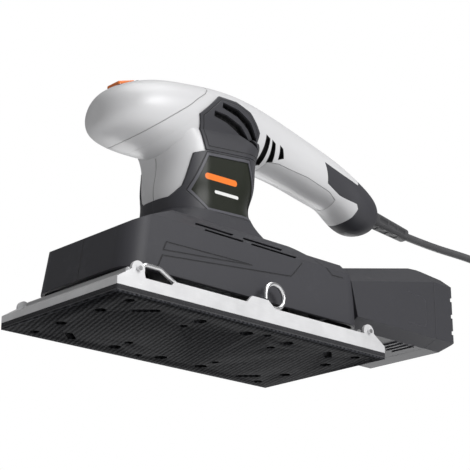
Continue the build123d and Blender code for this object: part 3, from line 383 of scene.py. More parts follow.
def plated_wire(name, colour):
    """Bright nickel-plated wire with faint drawing lines and a few dull spots."""
    shader = Shader(name, Metallic=1.0)
    lines = shader.noise(1.0, 2.0, 0.5, shader.stretched(120.0, 2400.0, 2400.0))
    spots = shader.noise(240.0, 3.0, 0.6).above(0.66, 0.1)
    shader.feed("Base Color", shader.mix(lines * 0.7 + spots * 0.3, tint(colour, 0.82), tint(colour, 1.06)))
    shader.feed("Roughness", 0.16 + lines * 0.1 + spots * 0.25)
    shader.relief(lines, 0.00001)
    return shader.material


def ground_steel(name, colour):
    """Machined steel with fine turning marks and an oily bloom."""
    shader = Shader(name, Metallic=1.0)
    turning = shader.bands(900.0, shader.stretched(0.0, 0.0, 1.0, (0.0, 90.0, 0.0)), 0.4)
    bloom = shader.noise(60.0, 4.0)
    shader.feed("Base Color", shader.mix(bloom * 0.7 + turning * 0.3, tint(colour, 0.78), tint(colour, 1.1)))
    shader.feed("Roughness", 0.24 + bloom * 0.2)
    shader.relief(turning, 0.00001)
    return shader.material


def cast_alloy(name, colour):
    """Die-cast alloy with a pebbled skin."""
    shader = Shader(name, Metallic=0.8)
    skin = shader.cells(700.0)
    bloom = shader.noise(80.0, 4.0)
    shader.feed("Base Color", shader.mix(skin * 0.5 + bloom * 0.5, tint(colour, 0.75), tint(colour, 1.1)))
    shader.feed("Roughness", 0.42 + bloom * 0.2)
    shader.relief(skin, 0.00006)
    return shader.material


def stacked_laminations(name, colour):
    """Core of thin steel sheets stacked along Z, with varnish between them."""
    shader = Shader(name, Metallic=0.7)
    sheets = shader.bands(320.0, shader.node("ShaderNodeCombineXYZ", {}, {0: shader.axis("Z")}))
    varnish = shader.noise(120.0, 3.0)
    shader.feed("Base Color", shader.mix(sheets * 0.8 + varnish * 0.2, tint(colour, 0.45), tint(colour, 1.4)))
    shader.feed("Roughness", 0.4 + varnish * 0.25)
    shader.relief(sheets, 0.0001)
    return shader.material


def wound_copper(name, colour):
    """Enamelled copper wire laid side by side, with a varnish sheen."""
    shader = Shader(name, Metallic=0.75, Coat_Weight=0.4, Coat_Roughness=0.12)
    turns = shader.bands(260.0, shader.stretched(1.0, 1.0, 1.0, (0.0, 0.0, 45.0)), 1.2)
    varnish = shader.noise(90.0, 3.0)
    shader.feed("Base Color", shader.mix(turns * 0.7 + varnish * 0.3, tint(colour, 0.5), tint(colour, 1.2)))
    shader.feed("Roughness", 0.28 + varnish * 0.2)
    shader.relief(turns, 0.00025)
    return shader.material


def pressed_carbon(name, colour):
    """Matt sintered carbon with bright graphite grains."""
    shader = Shader(name)
    grains = shader.cells(1800.0)
    shader.feed("Base Color", shader.mix(grains, tint(colour, 0.6), tint(colour, 1.9)))
    shader.feed("Roughness", 0.5 + grains * 0.3)
    shader.relief(grains, 0.00003)
    return shader.material


def soft_rubber(name, colour, gloss=0.62):
    """Moulded rubber: dull, slightly dusty on its high spots."""
    shader = Shader(name, Specular_IOR_Level=0.35, Sheen_Weight=0.08, Sheen_Roughness=0.6)
    grain = shader.noise(1600.0, 2.0, 0.6)
    dust = shader.noise(120.0, 4.0, 0.6).above(0.58, 0.2)
    shader.feed("Base Color", shader.mix(grain * 0.4 + dust * 0.6, tint(colour, 0.8), tint(colour, 1.35)))
    shader.feed("Roughness", gloss + grain * 0.12 + dust * 0.1)
    shader.relief(grain, 0.00003)
    return shader.material


HIGHLIGHT_INSET = 0.0014


def hook_cloth(name, colour, half_length, half_width):
    """Hook-faced woven cloth: slanting ribs of knots, broken by the weave, with a paler line just inside the
    edge, a painted highlight.
    """
    shader = Shader(name, Specular_IOR_Level=0.04)
    ribs = shader.bands(95.0, shader.stretched(1.0, 1.0, 1.0, (0.0, 0.0, 19.0)), 1.1)
    knots = 1.0 - shader.cells(620.0)
    lint = shader.noise(420.0, 4.0, 0.7)
    past_end = abs(shader.axis("X")) - (half_length - HIGHLIGHT_INSET)
    past_side = abs(shader.axis("Y")) - (half_width - HIGHLIGHT_INSET)
    past_edge_highlight = shader.either(past_end, past_side)
    edge_highlight = past_edge_highlight.above(0.0, 0.0002) - past_edge_highlight.above(0.0007, 0.0002)
    weave = ribs * knots * 0.8 + lint.above(0.55, 0.3) * 0.3
    cloth = shader.mix(weave, tint(colour, 0.25), tint(colour, 2.2))
    # Painted highlight: a pale line just inside the edge of the pad face.
    shader.feed("Base Color", shader.mix(edge_highlight * 0.6, cloth, tint(colour, 3.0)))
    shader.feed("Roughness", 0.75 + lint * 0.2)
    shader.relief(ribs * 0.5 + knots * 0.5 + edge_highlight * 0.3, 0.0005)
    return shader.material


def cellular_foam(name, colour):
    """Closed-cell foam cut edge with open pores."""
    shader = Shader(name, Specular_IOR_Level=0.2)
    pores = shader.cells(1100.0)
    mottle = shader.noise(90.0, 3.0)
    shader.feed("Base Color", shader.mix(pores * 0.6 + mottle * 0.4, tint(colour, 0.55), tint(colour, 1.3)))
    shader.feed("Roughness", 0.8 + mottle * 0.15)
    shader.relief(pores, 0.0002)
    return shader.material


def label_film(name, colour, band, bar):
    """Printed film without words: an orange band over a short white bar, under satin varnish."""
    shader = Shader(name, Specular_IOR_Level=0.2, Coat_Weight=0.06, Coat_Roughness=0.15)
    rise = shader.axis("Z").above(0.1, 0.05)
    peel = shader.noise(600.0, 2.0)
    paint = shader.mix(rise * 0.8 + peel * 0.2, tint(colour, 0.85), tint(colour, 1.2))
    print_wear = 0.9 + peel * 0.1
    wide = shader.line(shader.stroke(LABEL_BAND), 0.0021, 0.0002)
    narrow = shader.line(shader.stroke(LABEL_BAR), 0.0011, 0.0002)
    paint = shader.mix(wide * print_wear, paint, band)
    shader.feed("Base Color", shader.mix(narrow * print_wear, paint, bar))
    shader.feed("Roughness", 0.3 + peel * 0.08)
    shader.relief(peel, 0.000008)
    return shader.material


def gloss_plastic(name, colour):
    """Glossy coloured plastic, a little worn where fingers press it."""
    shader = Shader(name, Coat_Weight=0.4, Coat_Roughness=0.1)
    clouds = shader.noise(160.0, 3.0)
    wear = shader.noise(420.0, 4.0, 0.7).above(0.6, 0.15)
    shader.feed("Base Color", shader.mix(clouds * 0.6 + wear * 0.4, tint(colour, 0.9), tint(colour, 1.12)))
    shader.feed("Roughness", 0.24 + wear * 0.25)
    shader.relief(wear, 0.00001)
    return shader.material


def pleated_paper(name, colour):
    """Filter paper with fibres and a dusting of fine grey."""
    shader = Shader(name, Specular_IOR_Level=0.2)
    fibres = shader.noise(1.0, 4.0, 0.7, shader.stretched(900.0, 900.0, 300.0))
    dust = shader.noise(60.0, 4.0)
    shader.feed("Base Color", shader.mix(fibres * 0.4 + dust * 0.6, tint(colour, 0.7), tint(colour, 1.1)))
    shader.feed("Roughness", 0.85 + fibres * 0.1)
    shader.relief(fibres, 0.00006)
    return shader.material


# ---------------------------------------------------------------- mesh helpers
def add_object(name, data):
    """New object at the origin, in the scene."""
    made = bpy.data.objects.new(name, data)
    bpy.context.scene.collection.objects.link(made)
    return made


def add_mesh(name, work):
    """New object from a bmesh, which it frees."""
    mesh = bpy.data.meshes.new(name)
    work.to_mesh(mesh)
    work.free()
    return add_object(name, mesh)


def finish_piece(piece, body, material):
    """Puts the material on, shades the piece smooth and hangs it on its body."""
    piece.data.materials.append(material)
    if piece.type == "MESH":
        piece.data.shade_smooth()
    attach(piece, body)
    return piece


def surface(name, points, wrap_rows=False, wrap_columns=True, caps=False):
    """Mesh object from a grid of points (rows, columns, 3), joined into quads row to row.

    Rows or columns wrap round when asked, and caps closes the first and last row with one face each.
    """
    rows, columns = points.shape[:2]
    index = np.arange(rows * columns).reshape(rows, columns)
    down = np.roll(index, -1, 0) if wrap_rows else index[1:]
    here = index if wrap_rows else index[:-1]
    pairs = [here, np.roll(here, -1, 1), np.roll(down, -1, 1), down]
    if not wrap_columns:
        pairs = [corner[:, :-1] for corner in pairs]
    faces = np.stack(pairs, -1).reshape(-1, 4).tolist()
    if caps:
        faces += [index[0][::-1].tolist(), index[-1].tolist()]
    mesh = bpy.data.meshes.new(name)
    mesh.from_pydata(points.reshape(-1, 3).tolist(), [], faces)
    return add_object(name, mesh)


def face_outwards(piece):
    """Turns every face of a closed mesh outwards."""
    work = bmesh.new()
    work.from_mesh(piece.data)
    bmesh.ops.recalc_face_normals(work, faces=work.faces)
    work.to_mesh(piece.data)
    work.free()


def joined(name, pieces):
    """One object from several, keeping every face."""
    work = bmesh.new()
    for piece in pieces:
        work.from_mesh(piece.data)
        bpy.data.objects.remove(piece)
    return add_mesh(name, work)


def superellipse(angles, power):
    """Closed section of half size 1: |across|^power + |up|^power = 1, at the given angles."""
    across = np.sign(np.cos(angles)) * np.abs(np.cos(angles)) ** (2.0 / power)
    up = np.sign(np.sin(angles)) * np.abs(np.sin(angles)) ** (2.0 / power)
    return across, up


def smooth_gate(value):
    """0 where the value is well below 0, 1 where it is well above: (1 + tanh(7 * value)) / 2."""
    return 0.5 + 0.5 * np.tanh(7.0 * value)


def around_rectangle(half_x, half_y, corner, count):
    """Points and outward directions round a rounded rectangle, with count points on each corner's arc."""
    sides = []
    for quarter in range(4):
        turn = quarter * pi / 2 + np.linspace(0.0, pi / 2, count)
        centre_x = (half_x - corner) * (1 if quarter in (0, 3) else -1)
        centre_y = (half_y - corner) * (1 if quarter in (0, 1) else -1)
        outward = np.stack([np.cos(turn), np.sin(turn)], 1)
        sides.append(np.hstack([outward * corner + (centre_x, centre_y), outward]))
    ring = np.vstack(sides)
    return ring[:, :2], ring[:, 2:]


def dress(names, material):
    """Gives CAD nodes a finish through their material slots."""
    for name in names:
        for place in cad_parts[name].material_slots:
            place.material = material


# ---------------------------------------------------------------- settings
class CameraSettings(bpy.types.PropertyGroup):
    place: FloatVectorProperty(
        name="Place",
        description="Where the camera stands",
        default=(-0.59939, -0.67151, -0.23991),
        unit="LENGTH",
    )
    aim: FloatVectorProperty(
        name="Aim",
        description="Point the camera looks at",
        default=(-0.01808, -0.05213, 0.05772),
        unit="LENGTH",
    )
    lens: FloatProperty(name="Lens", description="Focal length in millimetres", default=110.0)


class StageSettings(bpy.types.PropertyGroup):
    floor_size: FloatProperty(name="Floor", description="Side of the floor", default=9.0, unit="LENGTH")
    floor_colour: FloatVectorProperty(
        name="Floor colour", description="Pale floor", default=(0.86, 0.86, 0.86), subtype="COLOR"
    )
    ambient: FloatProperty(name="Ambient", description="Strength of the room light", default=0.25)


class CordSettings(bpy.types.PropertyGroup):
    diameter: FloatProperty(name="Diameter", description="Lead diameter", default=0.006, unit="LENGTH")
    length: FloatProperty(name="Length", description="Real length of the lead", default=1.98, unit="LENGTH")
    colour: FloatVectorProperty(
        name="Colour", description="Sheath colour", default=(0.05, 0.05, 0.053), subtype="COLOR"
    )


class PlasticSettings(bpy.types.PropertyGroup):
    charcoal: FloatVectorProperty(
        name="Charcoal", description="Housing and dust box", default=(0.034, 0.034, 0.04), subtype="COLOR"
    )
    silver: FloatVectorProperty(
        name="Silver", description="Handle shells and pommel", default=(0.6, 0.6, 0.61), subtype="COLOR"
    )
    grip: FloatVectorProperty(
        name="Grip", description="Soft grip insert", default=(0.47, 0.47, 0.48), subtype="COLOR"
    )
    orange: FloatVectorProperty(
        name="Orange", description="Switch rocker", default=(0.85, 0.2, 0.03), subtype="COLOR"
    )
    label: FloatVectorProperty(
        name="Label", description="Label film", default=(0.015, 0.017, 0.012), subtype="COLOR"
    )
    bar: FloatVectorProperty(
        name="Bar", description="Bar on the label", default=(0.75, 0.75, 0.74), subtype="COLOR"
    )


class PadSettings(bpy.types.PropertyGroup):
    cloth: FloatVectorProperty(
        name="Cloth", description="Hook cloth colour", default=(0.042, 0.043, 0.048), subtype="COLOR"
    )
    foam: FloatVectorProperty(
        name="Foam", description="Foam colour", default=(0.035, 0.035, 0.038), subtype="COLOR"
    )
    round_off: FloatProperty(
        name="Round off", description="Rounding of the cut edges", default=0.00035, unit="LENGTH"
    )
    bulge: FloatProperty(
        name="Bulge", description="How far the foam edge swells", default=0.0004, unit="LENGTH"
    )


# The screens are dark sheets behind the vents that stand in for painted shade inside the handle.
class ScreenSettings(bpy.types.PropertyGroup):
    inset: FloatProperty(
        name="Inset", description="Depth of the shade screens under the shell", default=0.0042, unit="LENGTH"
    )
    slats: IntProperty(name="Slats", description="Ridges along each screen", default=22)


# ---------------------------------------------------------------- camera and stage
FLOOR_LEVEL = -0.0006
SOFT_BOXES = [
    # name, place, aim, side in metres, power in watts
    ("side_key", (0.2, -1.5, 0.85), (0.0, 0.0, 0.08), 1.0, 22.0),
    ("top_box", (0.1, -0.1, 1.6), (0.02, 0.0, 0.1), 1.2, 11.0),
    ("low_fill", (0.35, -0.9, -1.2), (0.05, 0.0, 0.0), 1.4, 6.0),
    ("far_low", (1.0, 0.95, -0.45), (0.16, 0.0, 0.02), 0.8, 11.0),
]


def add_soft_box(name, place, aim, size, power):
    """Square area light at a place, turned to its aim, unseen by the camera."""
    lamp = bpy.data.lights.new(name, "AREA")
    lamp.size = size
    lamp.energy = power
    holder = add_object(name, lamp)
    holder.location = place
    holder.rotation_euler = (Vector(aim) - Vector(place)).to_track_quat("-Z", "Y").to_euler()
    holder.visible_camera = False


class SANDER_OT_camera(bpy.types.Operator):
    """Place the camera low on the left, looking up at the pad and handle"""

    bl_idname = "sander.camera"
    bl_label = "Camera"

    def execute(self, context):
        settings = context.scene.sander_camera
        lens = bpy.data.cameras.new("camera")
        lens.lens = settings.lens
        lens.sensor_width = 36.0
        lens.clip_start = 0.02
        camera = add_object("camera", lens)
        camera.location = settings.place
        view = Vector(settings.aim) - Vector(settings.place)
        camera.rotation_euler = view.to_track_quat("-Z", "Y").to_euler()
        context.scene.camera = camera
        return {"FINISHED"}


class SANDER_OT_stage(bpy.types.Operator):
    """Lay a pale floor that is seen only from above, and light it softly"""

    bl_idname = "sander.stage"
    bl_label = "Floor and Lights"

    def execute(self, context):
        settings = context.scene.sander_stage
        half = settings.floor_size / 2
        corners = np.array([[[-half, -half], [-half, half]], [[half, -half], [half, half]]])
        points = np.dstack([corners, np.full((2, 2), FLOOR_LEVEL)])
        floor = surface("floor", points, wrap_columns=False)
        floor.data.flip_normals()
        floor.data.materials.append(self.floor_material(settings.floor_colour))
        self.light_room(context, settings.ambient)
        return {"FINISHED"}

    def floor_material(self, colour):
        """Pale from above, clear from below and to lamp light, so the pad's underside stays lit."""
        shader = Shader("floor", Roughness=0.7)
        shader.feed("Base Color", shader.mix(shader.noise(3.0), tint(colour, 0.985), tint(colour, 1.0)))
        below = shader.node("ShaderNodeNewGeometry", {}, {}, "Backfacing")
        lamp_ray = shader.node("ShaderNodeLightPath", {}, {}, "Is Shadow Ray")
        shader.feed("Alpha", 1.0 - shader.either(below, lamp_ray))
        return shader.material

    def light_room(self, context, ambient):
        """White room for the eye, a dimmer one for lighting, and four soft boxes."""
        world = bpy.data.worlds.new("room")
        world.use_nodes = True
        tree = world.node_tree
        background = next(n for n in tree.nodes if n.type == "BACKGROUND")
        background.inputs["Color"].default_value = (1.0, 1.0, 1.0, 1.0)
        seen = tree.nodes.new("ShaderNodeLightPath").outputs["Is Camera Ray"]
        strength = tree.nodes.new("ShaderNodeMapRange")
        strength.inputs["To Min"].default_value = ambient
        strength.inputs["To Max"].default_value = 1.0
        tree.links.new(seen, strength.inputs["Value"])
        tree.links.new(strength.outputs["Result"], background.inputs["Strength"])
        context.scene.world = world
        context.scene.view_settings.view_transform = "Standard"
        for box in SOFT_BOXES:
            add_soft_box(*box)


# ---------------------------------------------------------------- mains lead
LEAD_POINTS = [
    (209.75, 0.0, 124.5),
    (239.0, -3.0, 121.5),
    (267.0, -12.0, 118.0),
    (293.0, -25.0, 110.0),
    (313.0, -38.0, 92.0),
    (324.0, -49.0, 66.0),
    (331.0, -56.0, 38.0),
    (345.0, -60.0, 13.0),
    (372.0, -61.0, 3.1),
]
TAIL_POINTS = [
    (349.8, -38.0, 15.6),
    (360.0, -48.2, 17.4),
    (373.0, -52.6, 20.6),
    (387.0, -53.0, 22.2),
    (399.0, -54.8, 22.2),
    (411.0, -56.5, 18.6),
    (423.0, -57.0, 15.4),
    (436.0, -57.0, 15.2),
]
COIL_CENTRE = (374.0, -24.0)
COIL_RADII = (39.0, 33.0, 27.0)
COIL_LAYERS = 3
COIL_START = -60.0
COIL_STEP = 30.0
STEPS_PER_TURN = 11
COIL_STEPS = 93
FLOOR_GAP = 0.1
BOOT_BASE = Vector((171.0, 0.0, 129.1)) * MM
BOOT_TIP = Vector((209.75, 0.0, 124.5)) * MM
BOOT_ROOT = -13.0 * MM
BOOT_HALF = 5.7 * MM
BOOT_TAPER = 1.15 * MM
BOOT_NOSE = 1.4 * MM
SLOT_PITCH = 11.0 * MM


def coil_points(diameter_mm):
    """Coil turns in millimetres, one point every COIL_STEP degrees.

    Each turn keeps its radius and height, then moves on one step early, so each crossing lies a step
    behind the last. Layers run inwards and outwards by turns. The points lie outside the turn by
    1 / cos(half a step), because the spline cuts inside them. The last turn stops where the tail starts.
    """
    turns = []
    for layer in range(COIL_LAYERS):
        radii = COIL_RADII if layer % 2 == 0 else COIL_RADII[::-1]
        turns += [(radius, diameter_mm * (layer + 0.5)) for radius in radii]
    places = []
    for step in range(COIL_STEPS):
        radius, height = turns[step // STEPS_PER_TURN]
        angle = radians(COIL_STEP * step + COIL_START)
        reach = radius / cos(radians(COIL_STEP) / 2)
        x = COIL_CENTRE[0] + reach * cos(angle)
        y = COIL_CENTRE[1] + reach * sin(angle)
        places.append((x, y, height + FLOOR_GAP))
    return places


class SANDER_OT_lead(bpy.types.Operator):
    """Run the mains lead from the boot down to the floor and coil the rest of it"""

    bl_idname = "sander.lead"
    bl_label = "Mains Lead"

    def execute(self, context):
        settings = context.scene.sander_cord
        places = LEAD_POINTS + coil_points(settings.diameter / MM) + TAIL_POINTS
        curve = bpy.data.curves.new("mains_lead", "CURVE")
        curve.dimensions = "3D"
        curve.resolution_u = 4
        curve.bevel_depth = settings.diameter / 2
        curve.bevel_resolution = 5
        curve.use_fill_caps = True
        spline = curve.splines.new("NURBS")
        spline.points.add(len(places) - 1)
        line = np.hstack([np.array(places) * MM, np.ones((len(places), 1))])
        spline.points.foreach_set("co", line.ravel())
        spline.order_u = 3
        spline.use_endpoint_u = True
        lead = add_object("mains_lead", curve)
        finish_piece(lead, "housing", soft_rubber("lead_sheath", settings.colour, 0.5))
        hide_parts("cord_tube", "cord_coil", "cord_lead")
        self.strain_relief()
        self.plug()
        return {"FINISHED"}

    def strain_relief(self):
        """Tapered rubber boot: a rounded square section shrinking along its axis to a rounded nose.

        Depth of the slots, as a share of the half size: side slots are channel(up) * gate(along), and top
        slots, half a pitch further on, are the same across the top and bottom.
        """
        length = (BOOT_TIP - BOOT_BASE).length
        along = np.array((BOOT_TIP - BOOT_BASE).normalized())
        across = np.array((0.0, 1.0, 0.0))
        up = np.cross(along, across)
        travel = np.linspace(BOOT_ROOT, length, 190)
        half = BOOT_HALF - BOOT_TAPER * np.clip(travel / length, 0.0, 1.0)
        nose = np.clip((travel - length) / BOOT_NOSE + 1.0, 0.0, 1.0)
        half = half - 1.0 * MM * (1.0 - np.sqrt(1.0 - 0.98 * nose**2))
        side, rise = superellipse(np.linspace(0.0, 2 * pi, 96, endpoint=False), 3.6)
        phase = 2 * pi * (travel - 9.5 * MM) / SLOT_PITCH
        side_gate = smooth_gate(np.cos(phase) + 0.85) * (travel > 3.5 * MM) * (travel < length - 4.5 * MM)
        top_gate = smooth_gate(-np.cos(phase) - 0.1) * (travel > 5.0 * MM) * (travel < length - 7.0 * MM)
        side_slots = 0.26 * np.outer(side_gate, np.exp(-((rise / 0.34) ** 6)))
        top_slots = 0.121 * np.outer(top_gate, np.exp(-((side / 0.5) ** 6)))
        scale = half[:, None] * (1.0 - side_slots - top_slots)
        centre = np.array(BOOT_BASE) + np.outer(travel, along)
        points = centre[:, None] + (scale * side)[..., None] * across + (scale * rise)[..., None] * up
        boot = surface("strain_relief", points, caps=True)
        face_outwards(boot)
        finish_piece(boot, "housing", soft_rubber("boot_rubber", (0.04, 0.04, 0.043)))
        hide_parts("cord_boot")
        return boot

    def plug(self):
        """Two-pin plug: a superellipse section whose half sizes swell from the lead to the face.

        The swell is the smooth step 3t^2 - 2t^3 along the axis, and the finger ridges are a low cosine.
        """
        low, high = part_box("plug_body")
        middle = (low + high) / 2
        travel = np.linspace(0.0, 1.0, 120)
        swell = np.clip((travel - 0.18) / 0.5, 0.0, 1.0)
        swell = swell * swell * (3.0 - 2.0 * swell)
        width = 4.8 * MM + ((high.y - low.y) / 2 - 4.9 * MM) * swell
        height = 4.5 * MM + ((high.z - low.z) / 2 - 4.6 * MM) * swell
        ridged = (travel > 0.04) * (travel < 0.62)
        ridges = 1.0 - 0.014 * (1.0 + np.cos(2 * pi * travel * 17)) * ridged
        shoulder = np.clip((travel - 0.955) / 0.045, 0.0, 1.0)
        size = ridges * (1.0 - 0.08 * (1.0 - np.sqrt(1.0 - 0.97 * shoulder**2)))
        side, rise = superellipse(np.linspace(0.0, 2 * pi, 88, endpoint=False), 2.9)
        points = np.empty((len(travel), len(side), 3))
        points[..., 0] = (low.x + travel * (high.x - low.x))[:, None]
        points[..., 1] = middle.y + np.outer(width * size, side)
        points[..., 2] = middle.z + np.outer(height * size, rise)
        body = surface("mains_plug", points, caps=True)
        face_outwards(body)
        rubber = soft_rubber("plug_rubber", (0.035, 0.035, 0.037), 0.48)
        finish_piece(body, "housing", rubber)
        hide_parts("plug_body")
        return body


# ---------------------------------------------------------------- pad
PAD_CORNER = 0.001
RIM_LOW = 0.0004
RIM_HIGH = 0.0002
RIM_BULGE = 0.00025
RING_ROOT = 0.0006


class SANDER_OT_pad(bpy.types.Operator):
    """Finish the pad: hook cloth, foam, its swollen edge and the bonded rim"""

    bl_idname = "sander.pad"
    bl_label = "Pad"

    def execute(self, context):
        settings = context.scene.sander_pad
        low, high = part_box("pad_foam")
        cloth = hook_cloth("hook_cloth", settings.cloth, high.x, high.y)
        foam = cellular_foam("pad_foam", settings.foam)
        face = self.softened("hook_cloth_face", "pad_facing", settings.round_off)
        finish_piece(face, "platen", cloth)
        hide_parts("pad_facing")
        core = self.softened("foam_core", "pad_foam", settings.round_off)
        finish_piece(core, "platen", foam)
        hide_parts("pad_foam")
        outline = around_rectangle(high.x, high.y, PAD_CORNER, 9)
        edge = self.edge_ring("foam_edge", outline, low.z, high.z, settings.bulge)
        finish_piece(edge, "platen", foam)
        rim = self.edge_ring("cloth_rim", outline, low.z - RIM_LOW, low.z + RIM_HIGH, RIM_BULGE)
        finish_piece(rim, "platen", soft_rubber("bonded_rim", (0.05, 0.05, 0.053)))
        return {"FINISHED"}

    def softened(self, name, node, round_off):
        """Joined copy of a CAD pad layer, its edges and hole rims rounded as in cut cloth and foam."""
        work = bmesh.new()
        work.from_mesh(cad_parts[node].data)
        bmesh.ops.remove_doubles(work, verts=work.verts, dist=0.000002)
        bmesh.ops.dissolve_limit(work, angle_limit=radians(1.0), verts=work.verts, edges=work.edges)
        piece = add_mesh(name, work)
        bevel = piece.modifiers.new("rounded", "BEVEL")
        bevel.width = round_off
        bevel.segments = 3
        bevel.limit_method = "ANGLE"
        bevel.angle_limit = radians(40.0)
        bevel.harden_normals = True
        return piece

    def edge_ring(self, name, outline, low, high, bulge):
        """Ring round the pad's outline, from low to high, standing bulge proud of its side.

        Out = bulge * cos(turn) on the outer half and RING_ROOT * cos(turn) on the inner half, in the foam.
        Up = sin(turn) * half the height.
        """
        outer, outward = outline
        turn = np.linspace(0.0, 2 * pi, 24, endpoint=False)
        proud = np.cos(turn) * np.where(np.cos(turn) > 0, bulge, RING_ROOT)
        rise = (low + high) / 2 + np.sin(turn) * (high - low) / 2
        points = np.empty((len(outer), len(turn), 3))
        points[..., :2] = outer[:, None] + outward[:, None] * proud[None, :, None]
        points[..., 2] = rise[None]
        ring = surface(name, points, wrap_rows=True)
        face_outwards(ring)
        return ring


# ---------------------------------------------------------------- shade screens: dark sheets behind the vents, as painted shade
SCREEN_FRONT = -0.026
SCREEN_REAR = 0.064
SCREEN_TAPER = 0.13
SLAT_HEIGHT = 0.0004


class SANDER_OT_screens(bpy.types.Operator):
    """Hang a dark ribbed sheet inside each handle shell, behind the vents and slits, as painted shade"""

    bl_idname = "sander.screens"
    bl_label = "Shade Screens"

    def execute(self, context):
        settings = context.scene.sander_screens
        sides = [self.screen(side, settings) for side in (-1.0, 1.0)]
        screens = joined("shade_screens", sides)
        # Near-black plastic: painted shade for the dark inside of the handle behind the vents.
        plastic = moulded_plastic("shade_screen_plastic", (0.012, 0.012, 0.013), 0.5, 0.6)
        finish_piece(screens, "housing", plastic)
        return {"FINISHED"}

    def screen(self, side, settings):
        """Part of an elliptical tube: x runs along the handle, and the angle runs round the section.

        The centre rises, and the half width and half height narrow, in step with x. The slats are a cosine
        along x.
        """
        share = np.linspace(0.0, 1.0, 8 * settings.slats)
        x = SCREEN_FRONT + (SCREEN_REAR - SCREEN_FRONT) * share
        angle = np.radians(np.linspace(-78.0, 52.0, 40))
        centre = np.minimum(0.151 + 0.12 * x, 0.1555)
        half_width = 0.0285 - SCREEN_TAPER * x - settings.inset
        half_height = 0.028 - SCREEN_TAPER * x - settings.inset
        slat = SLAT_HEIGHT * np.cos(2 * pi * settings.slats * share)
        points = np.empty((len(x), len(angle), 3))
        points[..., 0] = x[:, None]
        points[..., 1] = side * np.outer(half_width + slat, np.cos(angle))
        points[..., 2] = centre[:, None] + np.outer(half_height + slat, np.sin(angle))
        sheet = surface(f"screen{side:+.0f}", points, wrap_columns=False)
        if side > 0:
            sheet.data.flip_normals()
        return sheet


# ---------------------------------------------------------------- finishes of the frame
class SANDER_OT_shells(bpy.types.Operator):
    """Finish the housing, handle, trims, label, switch and dust box"""

    bl_idname = "sander.shells"
    bl_label = "Shells and Trims"

    def execute(self, context):
        colours = context.scene.sander_plastic
        grey = colours.charcoal
        grooves = [WEDGE, SWEEP, REAR_CREASE]
        housing = moulded_plastic("housing_plastic", grey, 0.42, 0.46, grooves, front_split=True)
        box = moulded_plastic("box_plastic", tint(grey, 0.92), 0.42, 0.46, ridges=[BOX_PANEL])
        trim = frame_plastic("trim_plastic", grey, LABEL, -0.0022, lip_highlight=True)
        shield = frame_plastic("shield_plastic", grey, SHIELD, 0.0026)
        silver = silver_plastic("silver_plastic", colours.silver, whole_handle=True)
        label = label_film("label_film", colours.label, colours.orange, colours.bar)
        dress(["housing_left", "housing_right"], housing)
        dress(["dust_box", "dust_lid"], box)
        dress(["rear_collar", "switch_body"], moulded_plastic("collar_plastic", grey, 0.36, 0.4))
        dress(["side_trim_left", "side_trim_right"], trim)
        dress(["vent_shield_left", "vent_shield_right"], shield)
        dress(["handle_left", "handle_right", "pommel_cap"], silver)
        dress(["grip_insert"], silver_plastic("grip_plastic", colours.grip))
        dress(["label_left", "label_right"], label)
        dress(["rocker_switch"], gloss_plastic("rocker_plastic", colours.orange))
        return {"FINISHED"}


class SANDER_OT_metalwork(bpy.types.Operator):
    """Finish the tray, clamps, screws and pins"""

    bl_idname = "sander.metalwork"
    bl_label = "Tray and Clamps"

    def execute(self, context):
        steel = ground_steel("ground_steel", (0.55, 0.55, 0.56))
        wire = plated_wire("plated_wire", (0.8, 0.8, 0.81))
        dress(["platen"], brushed_aluminium("brushed_aluminium", (0.7, 0.7, 0.71)))
        dress(["front_clamp_lever", "rear_clamp_lever"], wire)
        dress(["front_clamp_bar", "rear_clamp_bar", "hub_screws", "post_studs", "rocker_pin"], steel)
        dress(["housing_screws", "handle_screws"], steel)
        dress(["plug_pins"], plated_wire("pin_plating", (0.85, 0.8, 0.68)))
        return {"FINISHED"}


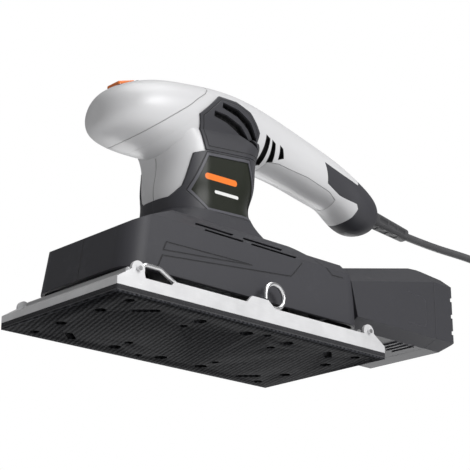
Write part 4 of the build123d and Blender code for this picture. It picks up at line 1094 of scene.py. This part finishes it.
class SANDER_OT_inner_parts(bpy.types.Operator):
    """Finish the motor, drive, rubber posts and dust path"""

    bl_idname = "sander.inner_parts"
    bl_label = "Motor and Drive"

    def execute(self, context):
        steel = ground_steel("bearing_steel", (0.5, 0.5, 0.51))
        alloy = cast_alloy("cast_alloy", (0.5, 0.51, 0.53))
        copper = wound_copper("wound_copper", (0.72, 0.3, 0.12))
        plates = stacked_laminations("laminations", (0.22, 0.22, 0.24))
        black = moulded_plastic("inner_plastic", (0.02, 0.02, 0.022), 0.5, 0.5)
        dress(["armature_shaft", "brush_springs"], steel)
        dress(["eccentric_bearing", "lower_bearing", "upper_bearing"], steel)
        dress(["eccentric", "platen_hub", "bearing_plate"], alloy)
        dress(["field_windings", "armature_windings", "commutator", "brush_holders"], copper)
        dress(["stator_core", "armature_core"], plates)
        dress(["fan", "fan_baffle", "bearing_bridge", "dust_duct", "cord_clamp"], black)
        dress(["brushes"], pressed_carbon("pressed_carbon", (0.04, 0.04, 0.042)))
        dress(["rubber_posts"], soft_rubber("post_rubber", (0.06, 0.06, 0.063)))
        dress(["cord_inner"], soft_rubber("inner_sheath", (0.03, 0.03, 0.033)))
        dress(["capacitor"], gloss_plastic("capacitor_lacquer", (0.5, 0.22, 0.03)))
        dress(["dust_filter"], pleated_paper("filter_paper", (0.75, 0.72, 0.62)))
        return {"FINISHED"}


# ---------------------------------------------------------------- panel and registration
class SANDER_PT_panel(bpy.types.Panel):
    """Lists every building step in the 3D view's sidebar"""

    bl_label = "Orbital Sander"
    bl_idname = "SANDER_PT_panel"
    bl_space_type = "VIEW_3D"
    bl_region_type = "UI"
    bl_category = "Sander"

    def draw(self, context):
        for operator in OPERATORS:
            self.layout.operator(operator.bl_idname)


SETTINGS = {
    "sander_camera": CameraSettings,
    "sander_stage": StageSettings,
    "sander_cord": CordSettings,
    "sander_plastic": PlasticSettings,
    "sander_pad": PadSettings,
    "sander_screens": ScreenSettings,
}
OPERATORS = (
    SANDER_OT_camera,
    SANDER_OT_lead,
    SANDER_OT_stage,
    SANDER_OT_pad,
    SANDER_OT_screens,
    SANDER_OT_shells,
    SANDER_OT_metalwork,
    SANDER_OT_inner_parts,
)
CLASSES = (*SETTINGS.values(), *OPERATORS, SANDER_PT_panel)


def register():
    for made in CLASSES:
        bpy.utils.register_class(made)
    for name, group in SETTINGS.items():
        setattr(bpy.types.Scene, name, PointerProperty(type=group))


def unregister():
    for name in SETTINGS:
        delattr(bpy.types.Scene, name)
    for made in reversed(CLASSES):
        bpy.utils.unregister_class(made)


def main():
    """Builds everything in order."""
    register()
    for operator in OPERATORS:
        group, name = operator.bl_idname.split(".")
        getattr(getattr(bpy.ops, group), name)()


if __name__ == "__main__":
    main()
